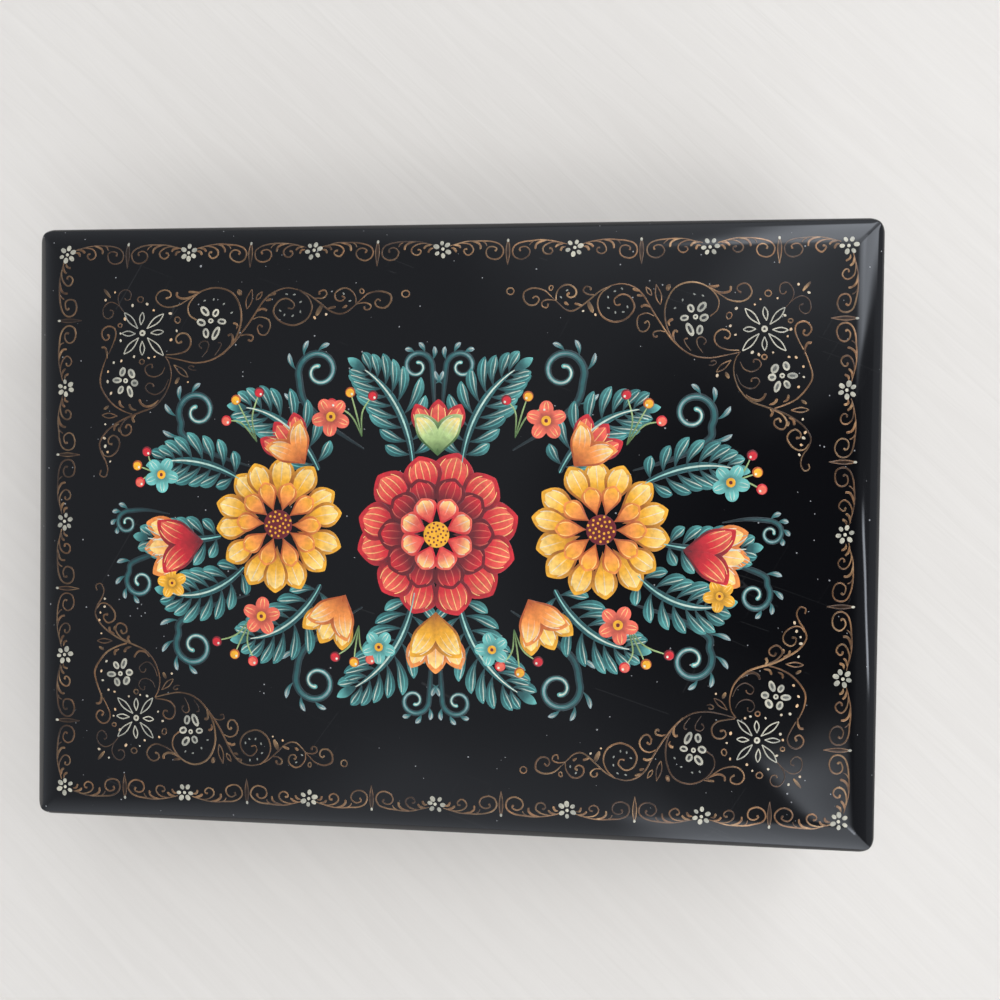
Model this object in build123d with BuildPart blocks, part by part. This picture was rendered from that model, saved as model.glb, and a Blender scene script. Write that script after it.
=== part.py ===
from build123d import *
import math
import os

# Small hinged lacquer box of pressed board: a rectangular body with a collar, and a pillow-topped lid.
# The origin is the middle of the underside. +X is along the front, +Y points to the hinged rear, +Z is up.
# All lengths are in millimetres.

# Outside of the closed box
box_length = 140.0
box_depth = 100.5
corner_radius = 2.5

# Body: a wall ring with the bottom panel set inside it
body_height = 27.0
wall_thickness = 5.0
inner_corner_radius = 1.5
base_edge_radius = 0.8
joint_edge_radius = 0.4
bottom_thickness = 3.0

# Collar: stands on the bottom panel, lines the wall and rises into the lid
collar_thickness = 2.0
collar_rise = 3.0
collar_corner_radius = 1.0
collar_edge_radius = 0.5

# Lid: a rim ring under a pillow-shaped panel that is hollow below
joint_gap = 0.3
lid_clearance = 0.3
rim_height = 8.5
panel_edge = 1.5
roll_drop = 2.0
roll_width = 5.0
crown = 3.4
hollow_step = 0.5
hollow_crown = 3.0

# Hinges: rolled barrels flush with the rear face, their leaves let into slots in the wall and the rim
hinge_length = 24.0
hinge_inset = 18.0
knuckle_radius = 1.5
knuckle_count = 3
knuckle_gap = 0.15
relief_clearance = 0.25
pin_radius = 0.6
pin_clearance = 0.05
pin_chamfer = 0.15
leaf_thickness = 0.6
leaf_cover = 1.5
rivet_radius = 0.5
rivet_edge = 2.4
rivet_cover = 1.0

# The lid opens this far, where the two rear bevels close up to the slack
open_degrees = 95.0
bevel_slack_degrees = 1.0

# How far cutting shapes run past what they cut
overrun = 1.0

half_length = box_length / 2
half_depth = box_depth / 2
inner_length = box_length - 2 * wall_thickness
inner_depth = box_depth - 2 * wall_thickness
rim_inner_length = inner_length + 2 * lid_clearance
rim_inner_depth = inner_depth + 2 * lid_clearance

rim_z = body_height + joint_gap
panel_z = rim_z + rim_height
lid_height = panel_edge + roll_drop + crown

hinge_y = half_depth - knuckle_radius
hinge_z = body_height + joint_gap / 2
barrel_front_y = hinge_y - knuckle_radius
relief_radius = knuckle_radius + relief_clearance
knuckle_length = (hinge_length - (knuckle_count - 1) * knuckle_gap) / knuckle_count
hinge_centre_x = half_length - hinge_inset - hinge_length / 2
hinge_centres = {"left": -hinge_centre_x, "right": hinge_centre_x}

# The leaves stop short of the lid panel, and the rivets short of the wall's inner face
leaf_height = rim_height - leaf_cover
rivet_offset = leaf_height - rivet_edge
rivet_length = wall_thickness - rivet_cover
rivet_pitch = knuckle_length + knuckle_gap

UP = 1
DOWN = -1


def crown_height(x, y):
    """Height of the top's plain crown: a parabola each way, at its highest in the middle of the lid."""
    rise = crown * (1 - (x / half_length) ** 2) * (1 - (y / half_depth) ** 2)
    return panel_z + panel_edge + roll_drop + rise


def side_band_height(x, y):
    """Height of the two rolled side bands: the crown, less a parabola that grows towards the side edge."""
    return crown_height(x, y) - roll_drop * (1 - (half_length - abs(x)) / roll_width) ** 2


def front_band_height(x, y):
    """Height of the rolled front and rear bands, made as the side bands are."""
    return crown_height(x, y) - roll_drop * (1 - (half_depth - abs(y)) / roll_width) ** 2


def hollow_height(x, y):
    """Height of the recess under the panel: a step at its rim and a crown that follows the top."""
    rise = hollow_crown * (1 - (2 * x / rim_inner_length) ** 2) * (1 - (2 * y / rim_inner_depth) ** 2)
    return panel_z + hollow_step + rise


def quadratic_patch(x_span, y_span, height):
    """Face of three poles each way, exact for a height that is quadratic in x and in y over the spans.

    A parabola's poles are its two ends, and twice its middle less half of each end.
    """
    pole_shares = ((1, 0, 0), (-1 / 2, 2, -1 / 2), (0, 0, 1))
    xs = (x_span[0], (x_span[0] + x_span[1]) / 2, x_span[1])
    ys = (y_span[0], (y_span[0] + y_span[1]) / 2, y_span[1])

    def pole_height(row_shares, column_shares):
        return sum(
            row_share * column_share * height(x, y)
            for row_share, y in zip(row_shares, ys)
            for column_share, x in zip(column_shares, xs)
        )

    return Face.make_bezier_surface(
        [
            [(x, y, pole_height(row_shares, column_shares)) for x, column_shares in zip(xs, pole_shares)]
            for y, row_shares in zip(ys, pole_shares)
        ]
    )


def block_under(outline, height):
    """Block on the panel's base plane with a straight-sided outline, topped by the height's patch."""
    xs = [point[0] for point in outline]
    ys = [point[1] for point in outline]
    patch = quadratic_patch((min(xs), max(xs)), (min(ys), max(ys)), height)
    with BuildPart() as block:
        with BuildSketch(Plane.XY.offset(panel_z - overrun)):
            with BuildLine():
                Polyline(*outline, close=True)
            make_face()
        extrude(amount=lid_height + 2 * overrun)
        extrude(patch, amount=lid_height + 2 * overrun, dir=(0, 0, -1), mode=Mode.INTERSECT)
    return block.part


def knuckle_start(centre_x, number):
    """Where a knuckle of the hinge at this centre starts along X, counted from the left."""
    return centre_x - hinge_length / 2 + number * (knuckle_length + knuckle_gap)


def cut_rear_groove():
    """Bevels the rear joint to a groove with its root on the hinge axis, so that the lid can swing back."""
    bevel = math.radians((open_degrees + bevel_slack_degrees) / 2)
    groove_depth = knuckle_radius + overrun
    groove_half_height = groove_depth * math.tan(bevel)
    with BuildSketch(Plane.YZ.offset(-half_length - overrun)) as groove:
        with BuildLine():
            Polyline(
                (hinge_y, hinge_z),
                (hinge_y + groove_depth, hinge_z - groove_half_height),
                (hinge_y + groove_depth, hinge_z + groove_half_height),
                close=True,
            )
        make_face()
    extrude(groove.sketch, amount=box_length + 2 * overrun, mode=Mode.SUBTRACT)


def cut_hinge_seats(direction):
    """Cuts what each hinge needs: room round its barrel, a slot for its leaf, and the rivet holes."""
    for centre_x in hinge_centres.values():
        with BuildSketch(Plane.YZ.offset(centre_x - hinge_length / 2 - knuckle_gap)) as relief:
            with Locations((hinge_y, hinge_z)):
                Circle(relief_radius)
        extrude(relief.sketch, amount=hinge_length + 2 * knuckle_gap, mode=Mode.SUBTRACT)
        with BuildSketch(Plane.XZ.offset(-barrel_front_y - leaf_thickness)) as slot:
            with Locations((centre_x, hinge_z + direction * leaf_height / 2)):
                Rectangle(hinge_length, leaf_height)
        extrude(slot.sketch, amount=leaf_thickness, mode=Mode.SUBTRACT)
    cut_rivet_holes(hinge_centres.values(), direction)


def cut_rivet_holes(centres, direction):
    """Drills the rivet holes from the rear face, in a row through each leaf."""
    with BuildSketch(Plane.XZ.offset(-half_depth)) as holes:
        for centre_x in centres:
            with Locations((centre_x, hinge_z + direction * rivet_offset)):
                with GridLocations(rivet_pitch, 0, knuckle_count, 1):
                    Circle(rivet_radius)
    extrude(holes.sketch, amount=rivet_length, mode=Mode.SUBTRACT)


def finish(builder, label):
    """Labels a finished piece and writes it to its own file."""
    builder.part.label = label
    export_step(builder.part, f"parts/{label}.step")


os.makedirs("parts", exist_ok=True)

# Body wall: four pressed-board sides in one ring
with BuildPart() as body_wall:
    with BuildSketch():
        RectangleRounded(box_length, box_depth, corner_radius)
        RectangleRounded(inner_length, inner_depth, inner_corner_radius, mode=Mode.SUBTRACT)
    extrude(amount=body_height)
    fillet(body_wall.faces().sort_by(Axis.Z)[0].outer_wire().edges(), base_edge_radius)
    fillet(body_wall.faces().sort_by(Axis.Z)[-1].outer_wire().edges(), joint_edge_radius)
    cut_rear_groove()
    cut_hinge_seats(DOWN)
finish(body_wall, "body_wall")

# Bottom panel: glued inside the wall, flush with its underside
with BuildPart() as bottom_panel:
    with BuildSketch():
        RectangleRounded(inner_length, inner_depth, inner_corner_radius)
    extrude(amount=bottom_thickness)
finish(bottom_panel, "bottom_panel")

# Inner collar: its outside touches the wall, and its rounded top edge guides the lid
with BuildPart() as inner_collar:
    with BuildSketch(Plane.XY.offset(bottom_thickness)):
        RectangleRounded(inner_length, inner_depth, inner_corner_radius)
        RectangleRounded(
            inner_length - 2 * collar_thickness,
            inner_depth - 2 * collar_thickness,
            collar_corner_radius,
            mode=Mode.SUBTRACT,
        )
    extrude(amount=body_height + collar_rise - bottom_thickness)
    fillet(inner_collar.faces().sort_by(Axis.Z)[-1].edges(), collar_edge_radius)
finish(inner_collar, "inner_collar")

# Lid rim: the ring that closes over the collar
with BuildPart() as lid_rim:
    with BuildSketch(Plane.XY.offset(rim_z)):
        RectangleRounded(box_length, box_depth, corner_radius)
        RectangleRounded(rim_inner_length, rim_inner_depth, inner_corner_radius, mode=Mode.SUBTRACT)
    extrude(amount=rim_height)
    fillet(lid_rim.faces().sort_by(Axis.Z)[0].edges(), joint_edge_radius)
    cut_rear_groove()
    cut_hinge_seats(UP)
finish(lid_rim, "lid_rim")

# Lid panel: a crowned middle and four rolled bands that meet in mitres, hollowed by a crowned recess
band_x = (half_length - roll_width, half_length + overrun)
band_y = (half_depth - roll_width, half_depth + overrun)
middle_outline = [
    (-band_x[0], -band_y[0]),
    (band_x[0], -band_y[0]),
    (band_x[0], band_y[0]),
    (-band_x[0], band_y[0]),
]
top_blocks = [block_under(middle_outline, crown_height)]
for end in (-1, 1):
    side_outline = [
        (end * band_x[0], -band_y[0]),
        (end * band_x[1], -band_y[1]),
        (end * band_x[1], band_y[1]),
        (end * band_x[0], band_y[0]),
    ]
    front_outline = [
        (-band_x[0], end * band_y[0]),
        (-band_x[1], end * band_y[1]),
        (band_x[1], end * band_y[1]),
        (band_x[0], end * band_y[0]),
    ]
    top_blocks.append(block_under(side_outline, side_band_height))
    top_blocks.append(block_under(front_outline, front_band_height))

with BuildPart() as hollow_form:
    with BuildSketch(Plane.XY.offset(panel_z - overrun)):
        RectangleRounded(rim_inner_length, rim_inner_depth, inner_corner_radius)
    extrude(amount=lid_height + overrun)
    hollow_patch = quadratic_patch(
        (-rim_inner_length / 2 - overrun, rim_inner_length / 2 + overrun),
        (-rim_inner_depth / 2 - overrun, rim_inner_depth / 2 + overrun),
        hollow_height,
    )
    extrude(hollow_patch, amount=lid_height + 2 * overrun, dir=(0, 0, -1), mode=Mode.INTERSECT)

with BuildPart() as lid_panel:
    for block in top_blocks:
        add(block)
    with BuildSketch(Plane.XY.offset(panel_z)):
        RectangleRounded(box_length, box_depth, corner_radius)
    extrude(amount=lid_height + overrun, mode=Mode.INTERSECT)
    add(hollow_form.part, mode=Mode.SUBTRACT)
finish(lid_panel, "lid_panel")


def make_leaf(centre_x, direction, own_knuckles):
    """Hinge leaf: a plate behind the barrel's front, with its own knuckles and notches for the others."""
    with BuildPart() as leaf:
        with BuildSketch(Plane.XZ.offset(-barrel_front_y - leaf_thickness)):
            with Locations((centre_x, hinge_z + direction * leaf_height / 2)):
                Rectangle(hinge_length, leaf_height)
            for number in range(knuckle_count):
                if number not in own_knuckles:
                    middle_x = knuckle_start(centre_x, number) + knuckle_length / 2
                    with Locations((middle_x, hinge_z)):
                        Rectangle(knuckle_length + 2 * knuckle_gap, 2 * relief_radius, mode=Mode.SUBTRACT)
        extrude(amount=leaf_thickness)
        for number in own_knuckles:
            with BuildSketch(Plane.YZ.offset(knuckle_start(centre_x, number))):
                with Locations((hinge_y, hinge_z)):
                    Circle(knuckle_radius)
            extrude(amount=knuckle_length)
        with BuildSketch(Plane.YZ.offset(centre_x - hinge_length / 2)):
            with Locations((hinge_y, hinge_z)):
                Circle(pin_radius + pin_clearance)
        extrude(amount=hinge_length, mode=Mode.SUBTRACT)
        cut_rivet_holes([centre_x], direction)
    return leaf


def make_pin(centre_x):
    """Hinge pin: as long as the barrel, with its ends broken."""
    with BuildPart() as pin:
        with BuildSketch(Plane.YZ.offset(centre_x - hinge_length / 2)):
            with Locations((hinge_y, hinge_z)):
                Circle(pin_radius)
        extrude(amount=hinge_length)
        chamfer(pin.edges().filter_by(GeomType.CIRCLE), pin_chamfer)
    return pin


def make_rivets(centre_x, direction):
    """Rivets: a row of brass pins, flush with the rear face, through the board and the leaf."""
    with BuildPart() as rivets:
        with BuildSketch(Plane.XZ.offset(-half_depth)):
            with Locations((centre_x, hinge_z + direction * rivet_offset)):
                with GridLocations(rivet_pitch, 0, knuckle_count, 1):
                    Circle(rivet_radius)
        extrude(amount=rivet_length)
    return rivets


# Two hinges: outer knuckles on the body, the middle ones between them on the lid
body_knuckles = range(0, knuckle_count, 2)
lid_knuckles = range(1, knuckle_count, 2)
for side, centre in hinge_centres.items():
    finish(make_leaf(centre, DOWN, body_knuckles), f"{side}_hinge_body_leaf")
    finish(make_leaf(centre, UP, lid_knuckles), f"{side}_hinge_lid_leaf")
    finish(make_pin(centre), f"{side}_hinge_pin")
    finish(make_rivets(centre, DOWN), f"{side}_body_leaf_rivets")
    finish(make_rivets(centre, UP), f"{side}_lid_leaf_rivets")

print(f"hinge axis: y {hinge_y:.3f}, z {hinge_z:.3f}; closed height {panel_z + lid_height:.2f}")
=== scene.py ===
from collections import namedtuple

import bpy
import numpy as np
from mathutils import Matrix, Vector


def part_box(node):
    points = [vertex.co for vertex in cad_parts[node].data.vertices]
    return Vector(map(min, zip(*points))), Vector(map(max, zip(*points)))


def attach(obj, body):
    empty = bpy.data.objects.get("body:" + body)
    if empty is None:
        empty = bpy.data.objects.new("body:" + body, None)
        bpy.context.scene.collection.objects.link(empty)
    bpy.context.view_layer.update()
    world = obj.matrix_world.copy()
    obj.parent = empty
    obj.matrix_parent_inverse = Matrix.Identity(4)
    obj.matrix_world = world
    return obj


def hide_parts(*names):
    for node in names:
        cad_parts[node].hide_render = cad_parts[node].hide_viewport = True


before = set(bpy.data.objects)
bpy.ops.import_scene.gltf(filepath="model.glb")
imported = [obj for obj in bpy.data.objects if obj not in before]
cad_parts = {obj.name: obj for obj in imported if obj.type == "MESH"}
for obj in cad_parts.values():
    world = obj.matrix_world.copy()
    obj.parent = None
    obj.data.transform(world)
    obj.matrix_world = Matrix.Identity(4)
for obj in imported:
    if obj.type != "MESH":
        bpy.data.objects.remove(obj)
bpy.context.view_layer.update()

# Lengths are millimetres in the CAD frame: X along the front, Y towards the hinges, Z up, with the
# origin in the middle of the underside. They turn into metres where Blender takes them.
MM = 0.001
chance = np.random.default_rng(11)

# The body's inside, and the lid's hollow, which is wider by a clearance
panel_low, panel_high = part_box("lid_panel")
LID_HALF_X = panel_high.x / MM
LID_HALF_Y = panel_high.y / MM
WALL_THICKNESS = 5.0
LID_CLEARANCE = 0.3
INNER_HALF_X = LID_HALF_X - WALL_THICKNESS
INNER_HALF_Y = LID_HALF_Y - WALL_THICKNESS
HOLLOW_HALF_X = INNER_HALF_X + LID_CLEARANCE
HOLLOW_HALF_Y = INNER_HALF_Y + LID_CLEARANCE
BOTTOM_TOP_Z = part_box("bottom_panel")[1].z / MM

# The lid's top board. The lacquer stays below the solid's top by the room that the paint needs.
SEAT_Z = panel_low.z / MM
PAINT_ROOM = 0.2
PANEL_EDGE = 1.5
ROLL_DROP = 2.0
ROLL_WIDTH = 5.0
ROLL_BASE_Z = SEAT_Z + PANEL_EDGE
CROWN = panel_high.z / MM - PAINT_ROOM - ROLL_DROP - ROLL_BASE_Z
MITRE_SHARPNESS = 8
CORNER_RADIUS = 2.5
EDGE_RADIUS = 0.8
EDGE_SLOPE = np.radians(40)
EDGE_STEPS = 5
SIDE_FOOT = 0.4
HOLLOW_RADIUS = 1.5
HOLLOW_STEP = 0.5
HOLLOW_CROWN = 3.0

# Grid lines of the lid: round the corner, along the rolled edge and a little past it, and inside
CORNER_LINES = 9
ROLL_LINES = 13
ROLL_MARGIN = 1.5
INSIDE_LINES_X = 64
INSIDE_LINES_Y = 44

# Paint: each level stands one layer above the level below it, and its underside is in the lacquer
LAYER = 0.006
PAINT_CROWN = 0.003
PAINT_SINK = -0.012
# The bevel along a stroke's edge, and the least and most share of the half width that it leaves
PAINT_BEVEL = 0.05
BEVEL_LEAVES = (0.45, 0.97)
# A stroke's section from edge to edge: how much of the crown each point has, and which are on top
SECTION_CROWN = np.array([0, 0, 0.6, 1, 0.6, 0, 0])
SECTION_ON_TOP = np.array([0, 1, 1, 1, 1, 1, 0])


def rgb(red, green, blue):
    """Linear colour of an sRGB colour given as three values from 0 to 255."""
    c = np.array([red, green, blue]) / 255
    return np.where(c <= 0.04045, c / 12.92, ((c + 0.055) / 1.055) ** 2.4)


GOLD = rgb(172, 124, 84)
GOLD_PALE = rgb(206, 164, 118)
GOLD_DIM = rgb(84, 62, 48)
PETAL_WHITE = rgb(184, 178, 158)
PETAL_GREY = rgb(122, 123, 114)
AMBER_DARK = rgb(150, 84, 16)
AMBER = rgb(222, 158, 30)
CREAM = rgb(238, 202, 122)
RED_DARK = rgb(100, 10, 22)
RED = rgb(190, 26, 38)
SALMON = rgb(218, 96, 74)
ORANGE_DARK = rgb(160, 72, 22)
ORANGE = rgb(226, 136, 60)
TEAL_DARK = rgb(12, 42, 46)
TEAL = rgb(34, 98, 98)
TURQUOISE = rgb(98, 172, 164)
SLATE = rgb(62, 78, 86)
SLATE_PALE = rgb(132, 148, 150)
LEAF_DARK = rgb(62, 92, 44)
LEAF_PALE = rgb(184, 208, 136)
SNOW = rgb(208, 208, 188)


# Surface of the lid

def lid_top(x, y):
    """Height of the lacquered top: a flat base, plus a pillow that is highest in the middle and falls
    with the square of x and of y, minus a roll that drops with the square of the way into a band along
    the edges. The two rolls meet at each corner on a soft mitre."""
    into_x = np.clip(1 - (LID_HALF_X - np.abs(x)) / ROLL_WIDTH, 0, None) ** 2
    into_y = np.clip(1 - (LID_HALF_Y - np.abs(y)) / ROLL_WIDTH, 0, None) ** 2
    roll = (into_x ** MITRE_SHARPNESS + into_y ** MITRE_SHARPNESS) ** (1 / MITRE_SHARPNESS)
    pillow = (1 - (x / LID_HALF_X) ** 2) * (1 - (y / LID_HALF_Y) ** 2)
    return ROLL_BASE_Z + ROLL_DROP * (1 - roll) + CROWN * pillow


def lid_under(x, y):
    """Height of the hollow underside: a step above the seat plus a shallow pillow."""
    pillow = (1 - (x / HOLLOW_HALF_X) ** 2) * (1 - (y / HOLLOW_HALF_Y) ** 2)
    return SEAT_Z + HOLLOW_STEP + HOLLOW_CROWN * pillow


def marks(half, radius, inside_lines):
    """Grid lines from -half to half: close together in the corner and along the roll, wider inside."""
    roll_end = half - ROLL_WIDTH - ROLL_MARGIN
    corner = np.linspace(half, half - radius, CORNER_LINES)
    roll = np.linspace(half - radius, roll_end, ROLL_LINES)[1:]
    inside = np.linspace(roll_end, 0, inside_lines)[1:]
    one_side = np.concatenate([corner, roll, inside])
    return np.concatenate([-one_side, one_side[-2::-1]])


def rounded_grid(half_x, half_y, radius):
    """Grid over a rectangle with round corners. In each corner the square cell (s, t) from 0 to 1 turns
    into a quarter disc: (s * sqrt(1 - t*t/2), t * sqrt(1 - s*s/2))."""
    x, y = np.meshgrid(marks(half_x, radius, INSIDE_LINES_X), marks(half_y, radius, INSIDE_LINES_Y))
    s = (np.abs(x) - (half_x - radius)) / radius
    t = (np.abs(y) - (half_y - radius)) / radius
    corner = (s > 0) & (t > 0)
    s_disc = s * np.sqrt(np.clip(1 - t * t / 2, 0, None))
    t_disc = t * np.sqrt(np.clip(1 - s * s / 2, 0, None))
    x_round = np.sign(x) * (half_x - radius + radius * s_disc)
    y_round = np.sign(y) * (half_y - radius + radius * t_disc)
    return np.where(corner, x_round, x), np.where(corner, y_round, y)


def rim_of(grid):
    """The grid's outer ring of points, once round, anticlockwise seen from above."""
    return np.concatenate([grid[0, :-1], grid[:-1, -1], grid[-1, :0:-1], grid[:0:-1, 0]])


def grid_faces(index):
    """Quads of a grid of point numbers, facing up."""
    return np.stack([index[:-1, :-1], index[:-1, 1:], index[1:, 1:], index[1:, :-1]], -1).reshape(-1, 4)


def band_faces(inner, outer):
    """Quads between two closed rings of point numbers, the outer one further out or lower."""
    return np.stack([inner, outer, np.roll(outer, -1), np.roll(inner, -1)], -1)


def make_mesh(name, points, quads, triangles=None, tones=None):
    """Object with a mesh from whole arrays: points in millimetres, faces as point numbers, and one
    linear colour for each point in the attribute named paint."""
    mesh = bpy.data.meshes.new(name)
    mesh.vertices.add(len(points))
    mesh.vertices.foreach_set("co", (np.asarray(points) * MM).astype(np.float32).ravel())
    corners = quads.ravel()
    starts = np.arange(len(quads)) * 4
    if triangles is not None:
        starts = np.concatenate([starts, len(corners) + np.arange(len(triangles)) * 3])
        corners = np.concatenate([corners, triangles.ravel()])
    mesh.loops.add(len(corners))
    mesh.loops.foreach_set("vertex_index", corners.astype(np.int32))
    mesh.polygons.add(len(starts))
    mesh.polygons.foreach_set("loop_start", starts.astype(np.int32))
    mesh.polygons.foreach_set("use_smooth", np.ones(len(starts), bool))
    mesh.update(calc_edges=True)
    if tones is not None:
        layer = mesh.attributes.new("paint", "FLOAT_COLOR", "POINT")
        opaque = np.concatenate([tones, np.ones((len(tones), 1))], 1)
        layer.data.foreach_set("color", opaque.astype(np.float32).ravel())
    piece = bpy.data.objects.new(name, mesh)
    bpy.context.scene.collection.objects.link(piece)
    return piece


# Brush strokes: each has a path on the lid seen from above, along it a width and a colour, and the level
# that its paint lies on. Headings are in degrees.

Stroke = namedtuple("Stroke", "path width tone level")

# How far apart a stroke's points are, and where the points of its round ends lie
STROKE_STEP = 0.22
ROUND_END = np.array([0.0, 0.1, 0.35, 0.7])
# A round end is at least this share of the full width across and at most this share of the length long
LEAST_END_WIDTH = 0.2
MOST_END_LENGTH = 0.4
# A stroke has its full width between these parts of its length, and swells over so many widths
FULL_WIDTH_PARTS = (0.35, 0.65)
SWELL_LENGTH = 2.4


def toward(heading):
    """Unit vector of a heading."""
    return np.array([np.cos(np.radians(heading)), np.sin(np.radians(heading))])


def smooth_path(points, steps=10):
    """Curve through the points: between two of them it is the cubic whose slope at each is half the way
    from the point before it to the point after it."""
    p = np.asarray(points, float)
    p = np.vstack([2 * p[0] - p[1], p, 2 * p[-1] - p[-2]])
    t = np.linspace(0, 1, steps, endpoint=False)[:, None, None]
    a, b, c, d = p[:-3], p[1:-2], p[2:-1], p[3:]
    curve = 2 * b + (c - a) * t + (2 * a - 5 * b + 4 * c - d) * t ** 2 + (3 * b - a - 3 * c + d) * t ** 3
    return np.vstack([0.5 * curve.transpose(1, 0, 2).reshape(-1, 2), p[-2]])


def walk(start, angle, run):
    """Points of a line from start that heads at angle, in radians, where its length so far is run."""
    way = np.stack([np.cos(angle), np.sin(angle)], 1)
    steps = (way[1:] + way[:-1]) / 2 * np.diff(run)[:, None]
    return np.asarray(start, float) + np.vstack([[0, 0], np.cumsum(steps, 0)])


def along_path(path, run, at):
    """Points of the path, whose own points lie at the lengths run, at other lengths."""
    return np.stack([np.interp(at, run, path[:, 0]), np.interp(at, run, path[:, 1])], 1)


def curl_path(start, heading, turn, first_radius, last_radius):
    """Curve that turns by so many degrees while its radius goes evenly from the first to the last. Its
    length so far is the turned angle times the mean radius so far."""
    part = np.linspace(0, 1, 70)
    turned = abs(np.radians(turn)) * part
    run = turned * (first_radius + (last_radius - first_radius) * part / 2)
    return walk(start, np.radians(heading + turn * part), run)


def spread(tone, part):
    """One colour for all, or several spread evenly along the parts from 0 to 1."""
    tone = np.atleast_2d(tone)
    at = np.linspace(0, 1, max(len(tone), 2))
    tone = np.repeat(tone, 2, 0) if len(tone) == 1 else tone
    return np.stack([np.interp(part, at, tone[:, k]) for k in range(3)], 1)


def stroke(path, width, tone, level, taper, swell=0.0):
    """A stroke along the path. The width starts and ends at the taper's share of the full width, the
    last bit swells by the share swell, and both ends round off like a half circle."""
    run = np.concatenate([[0], np.cumsum(np.hypot(*np.diff(path, axis=0).T))])
    length = run[-1]
    head = min(width * max(taper[0], LEAST_END_WIDTH) / 2, length * MOST_END_LENGTH)
    tail = min(width * max(taper[1] + swell, LEAST_END_WIDTH) / 2, length * MOST_END_LENGTH)
    count = max(3, int((length - head - tail) / STROKE_STEP) + 2)
    middle = np.linspace(head, length - tail, count)
    at = np.concatenate([ROUND_END * head, middle, length - ROUND_END[::-1] * tail])
    to_start = np.clip(1 - at / head, 0, 1)
    to_end = np.clip(1 - (length - at) / tail, 0, 1)
    rounding = np.sqrt(np.clip(1 - to_start ** 2, 0, 1) * np.clip(1 - to_end ** 2, 0, 1))
    full = np.interp(at / length, [0, *FULL_WIDTH_PARTS, 1], [taper[0], 1, 1, taper[1]])
    full = full + swell * np.clip(1 - (length - at) / (SWELL_LENGTH * width), 0, 1)
    return Stroke(along_path(path, run, at), width * full * rounding, spread(tone, at / length), level)


def line(points, width, tone, level, taper, swell=0.0):
    """A stroke along the smooth curve through the points."""
    return stroke(smooth_path(points), width, tone, level, taper, swell)


def petal_share(part, belly):
    """Share of a petal's full width at a part of its length: sin(pi * part ** k) ** 0.8 with k chosen so
    that it is widest at the belly."""
    power = np.log(0.5) / np.log(belly)
    return np.clip(np.sin(np.pi * part ** power), 0, 1) ** 0.8


def petal(base, heading, length, width, tone, level, bend, belly, count=13):
    """A petal, leaf or comma, widest at the belly, whose heading turns evenly by bend degrees. Its points
    stand closer together towards both ends, as the cosine of an even angle."""
    part = (1 - np.cos(np.linspace(0, np.pi, count))) / 2
    path = walk(base, np.radians(heading + bend * (part - 0.5)), part * length)
    return Stroke(path, width * petal_share(part, belly), spread(tone, part), level)


def petal_line(base, heading, length, width, across, tone, thick, level, bend=0.0, belly=0.62,
               reach=(0.4, 0.92)):
    """A fine line on a petal: it runs along the petal at the share across of its half width."""
    every = np.linspace(0, 1, 30)
    spine = walk(base, np.radians(heading + bend * (every - 0.5)), every * length)
    part = np.linspace(*reach, 9)
    angle = np.radians(heading + bend * (part - 0.5))
    side = np.stack([-np.sin(angle), np.cos(angle)], 1)
    half = width / 2 * petal_share(part, belly)
    path = along_path(spine, every, part) + side * (across * half)[:, None]
    return stroke(path, thick, tone, level, (0.2, 0.5))


def dot(centre, across, tone, level, along=None, heading=0.0, count=6):
    """A dab of paint with an oval outline: its width at a part p of its length is the full width times
    the square root of 4 p (1 - p)."""
    along = across if along is None else along
    part = (1 - np.cos(np.linspace(0, np.pi, count + 1))) / 2
    path = np.asarray(centre) + (part[:, None] - 0.5) * along * toward(heading)
    return Stroke(path, across * np.sqrt(np.clip(4 * part * (1 - part), 0, 1)), spread(tone, part), level)


def ring(centre, across, thick, tone, level, along, heading):
    """A small oval drawn with a little more than one turn of the brush."""
    angle = np.linspace(0, 2.03 * np.pi, 26)
    turn = np.radians(heading)
    u = along / 2 * np.cos(angle)
    v = across / 2 * np.sin(angle)
    path = np.stack([u * np.cos(turn) - v * np.sin(turn), u * np.sin(turn) + v * np.cos(turn)], 1)
    return stroke(path + centre, thick, tone, level, (1, 1))


def leaf_line(base, tip, belly, thick, tone, level):
    """Outline of a pointed leaf: two bows from base to tip, each bulging by half the belly times
    sin(pi * part ** 1.15)."""
    base, tip = np.asarray(base, float), np.asarray(tip, float)
    part = np.linspace(0, 1, 13)
    side = np.array([base[1] - tip[1], tip[0] - base[0]])
    side = side / np.hypot(*side) * belly / 2
    bow = np.sin(np.pi * part ** 1.15)[:, None] * side
    spine = base + part[:, None] * (tip - base)
    return [stroke(spine + bow, thick, tone, level, (0.8, 0.8)),
            stroke(spine - bow, thick, tone, level + 0.2, (0.8, 0.8))]


def moved(strokes, place):
    """The same strokes with each path put through place, a function of an array of points."""
    return [s._replace(path=place(s.path)) for s in strokes]


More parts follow.
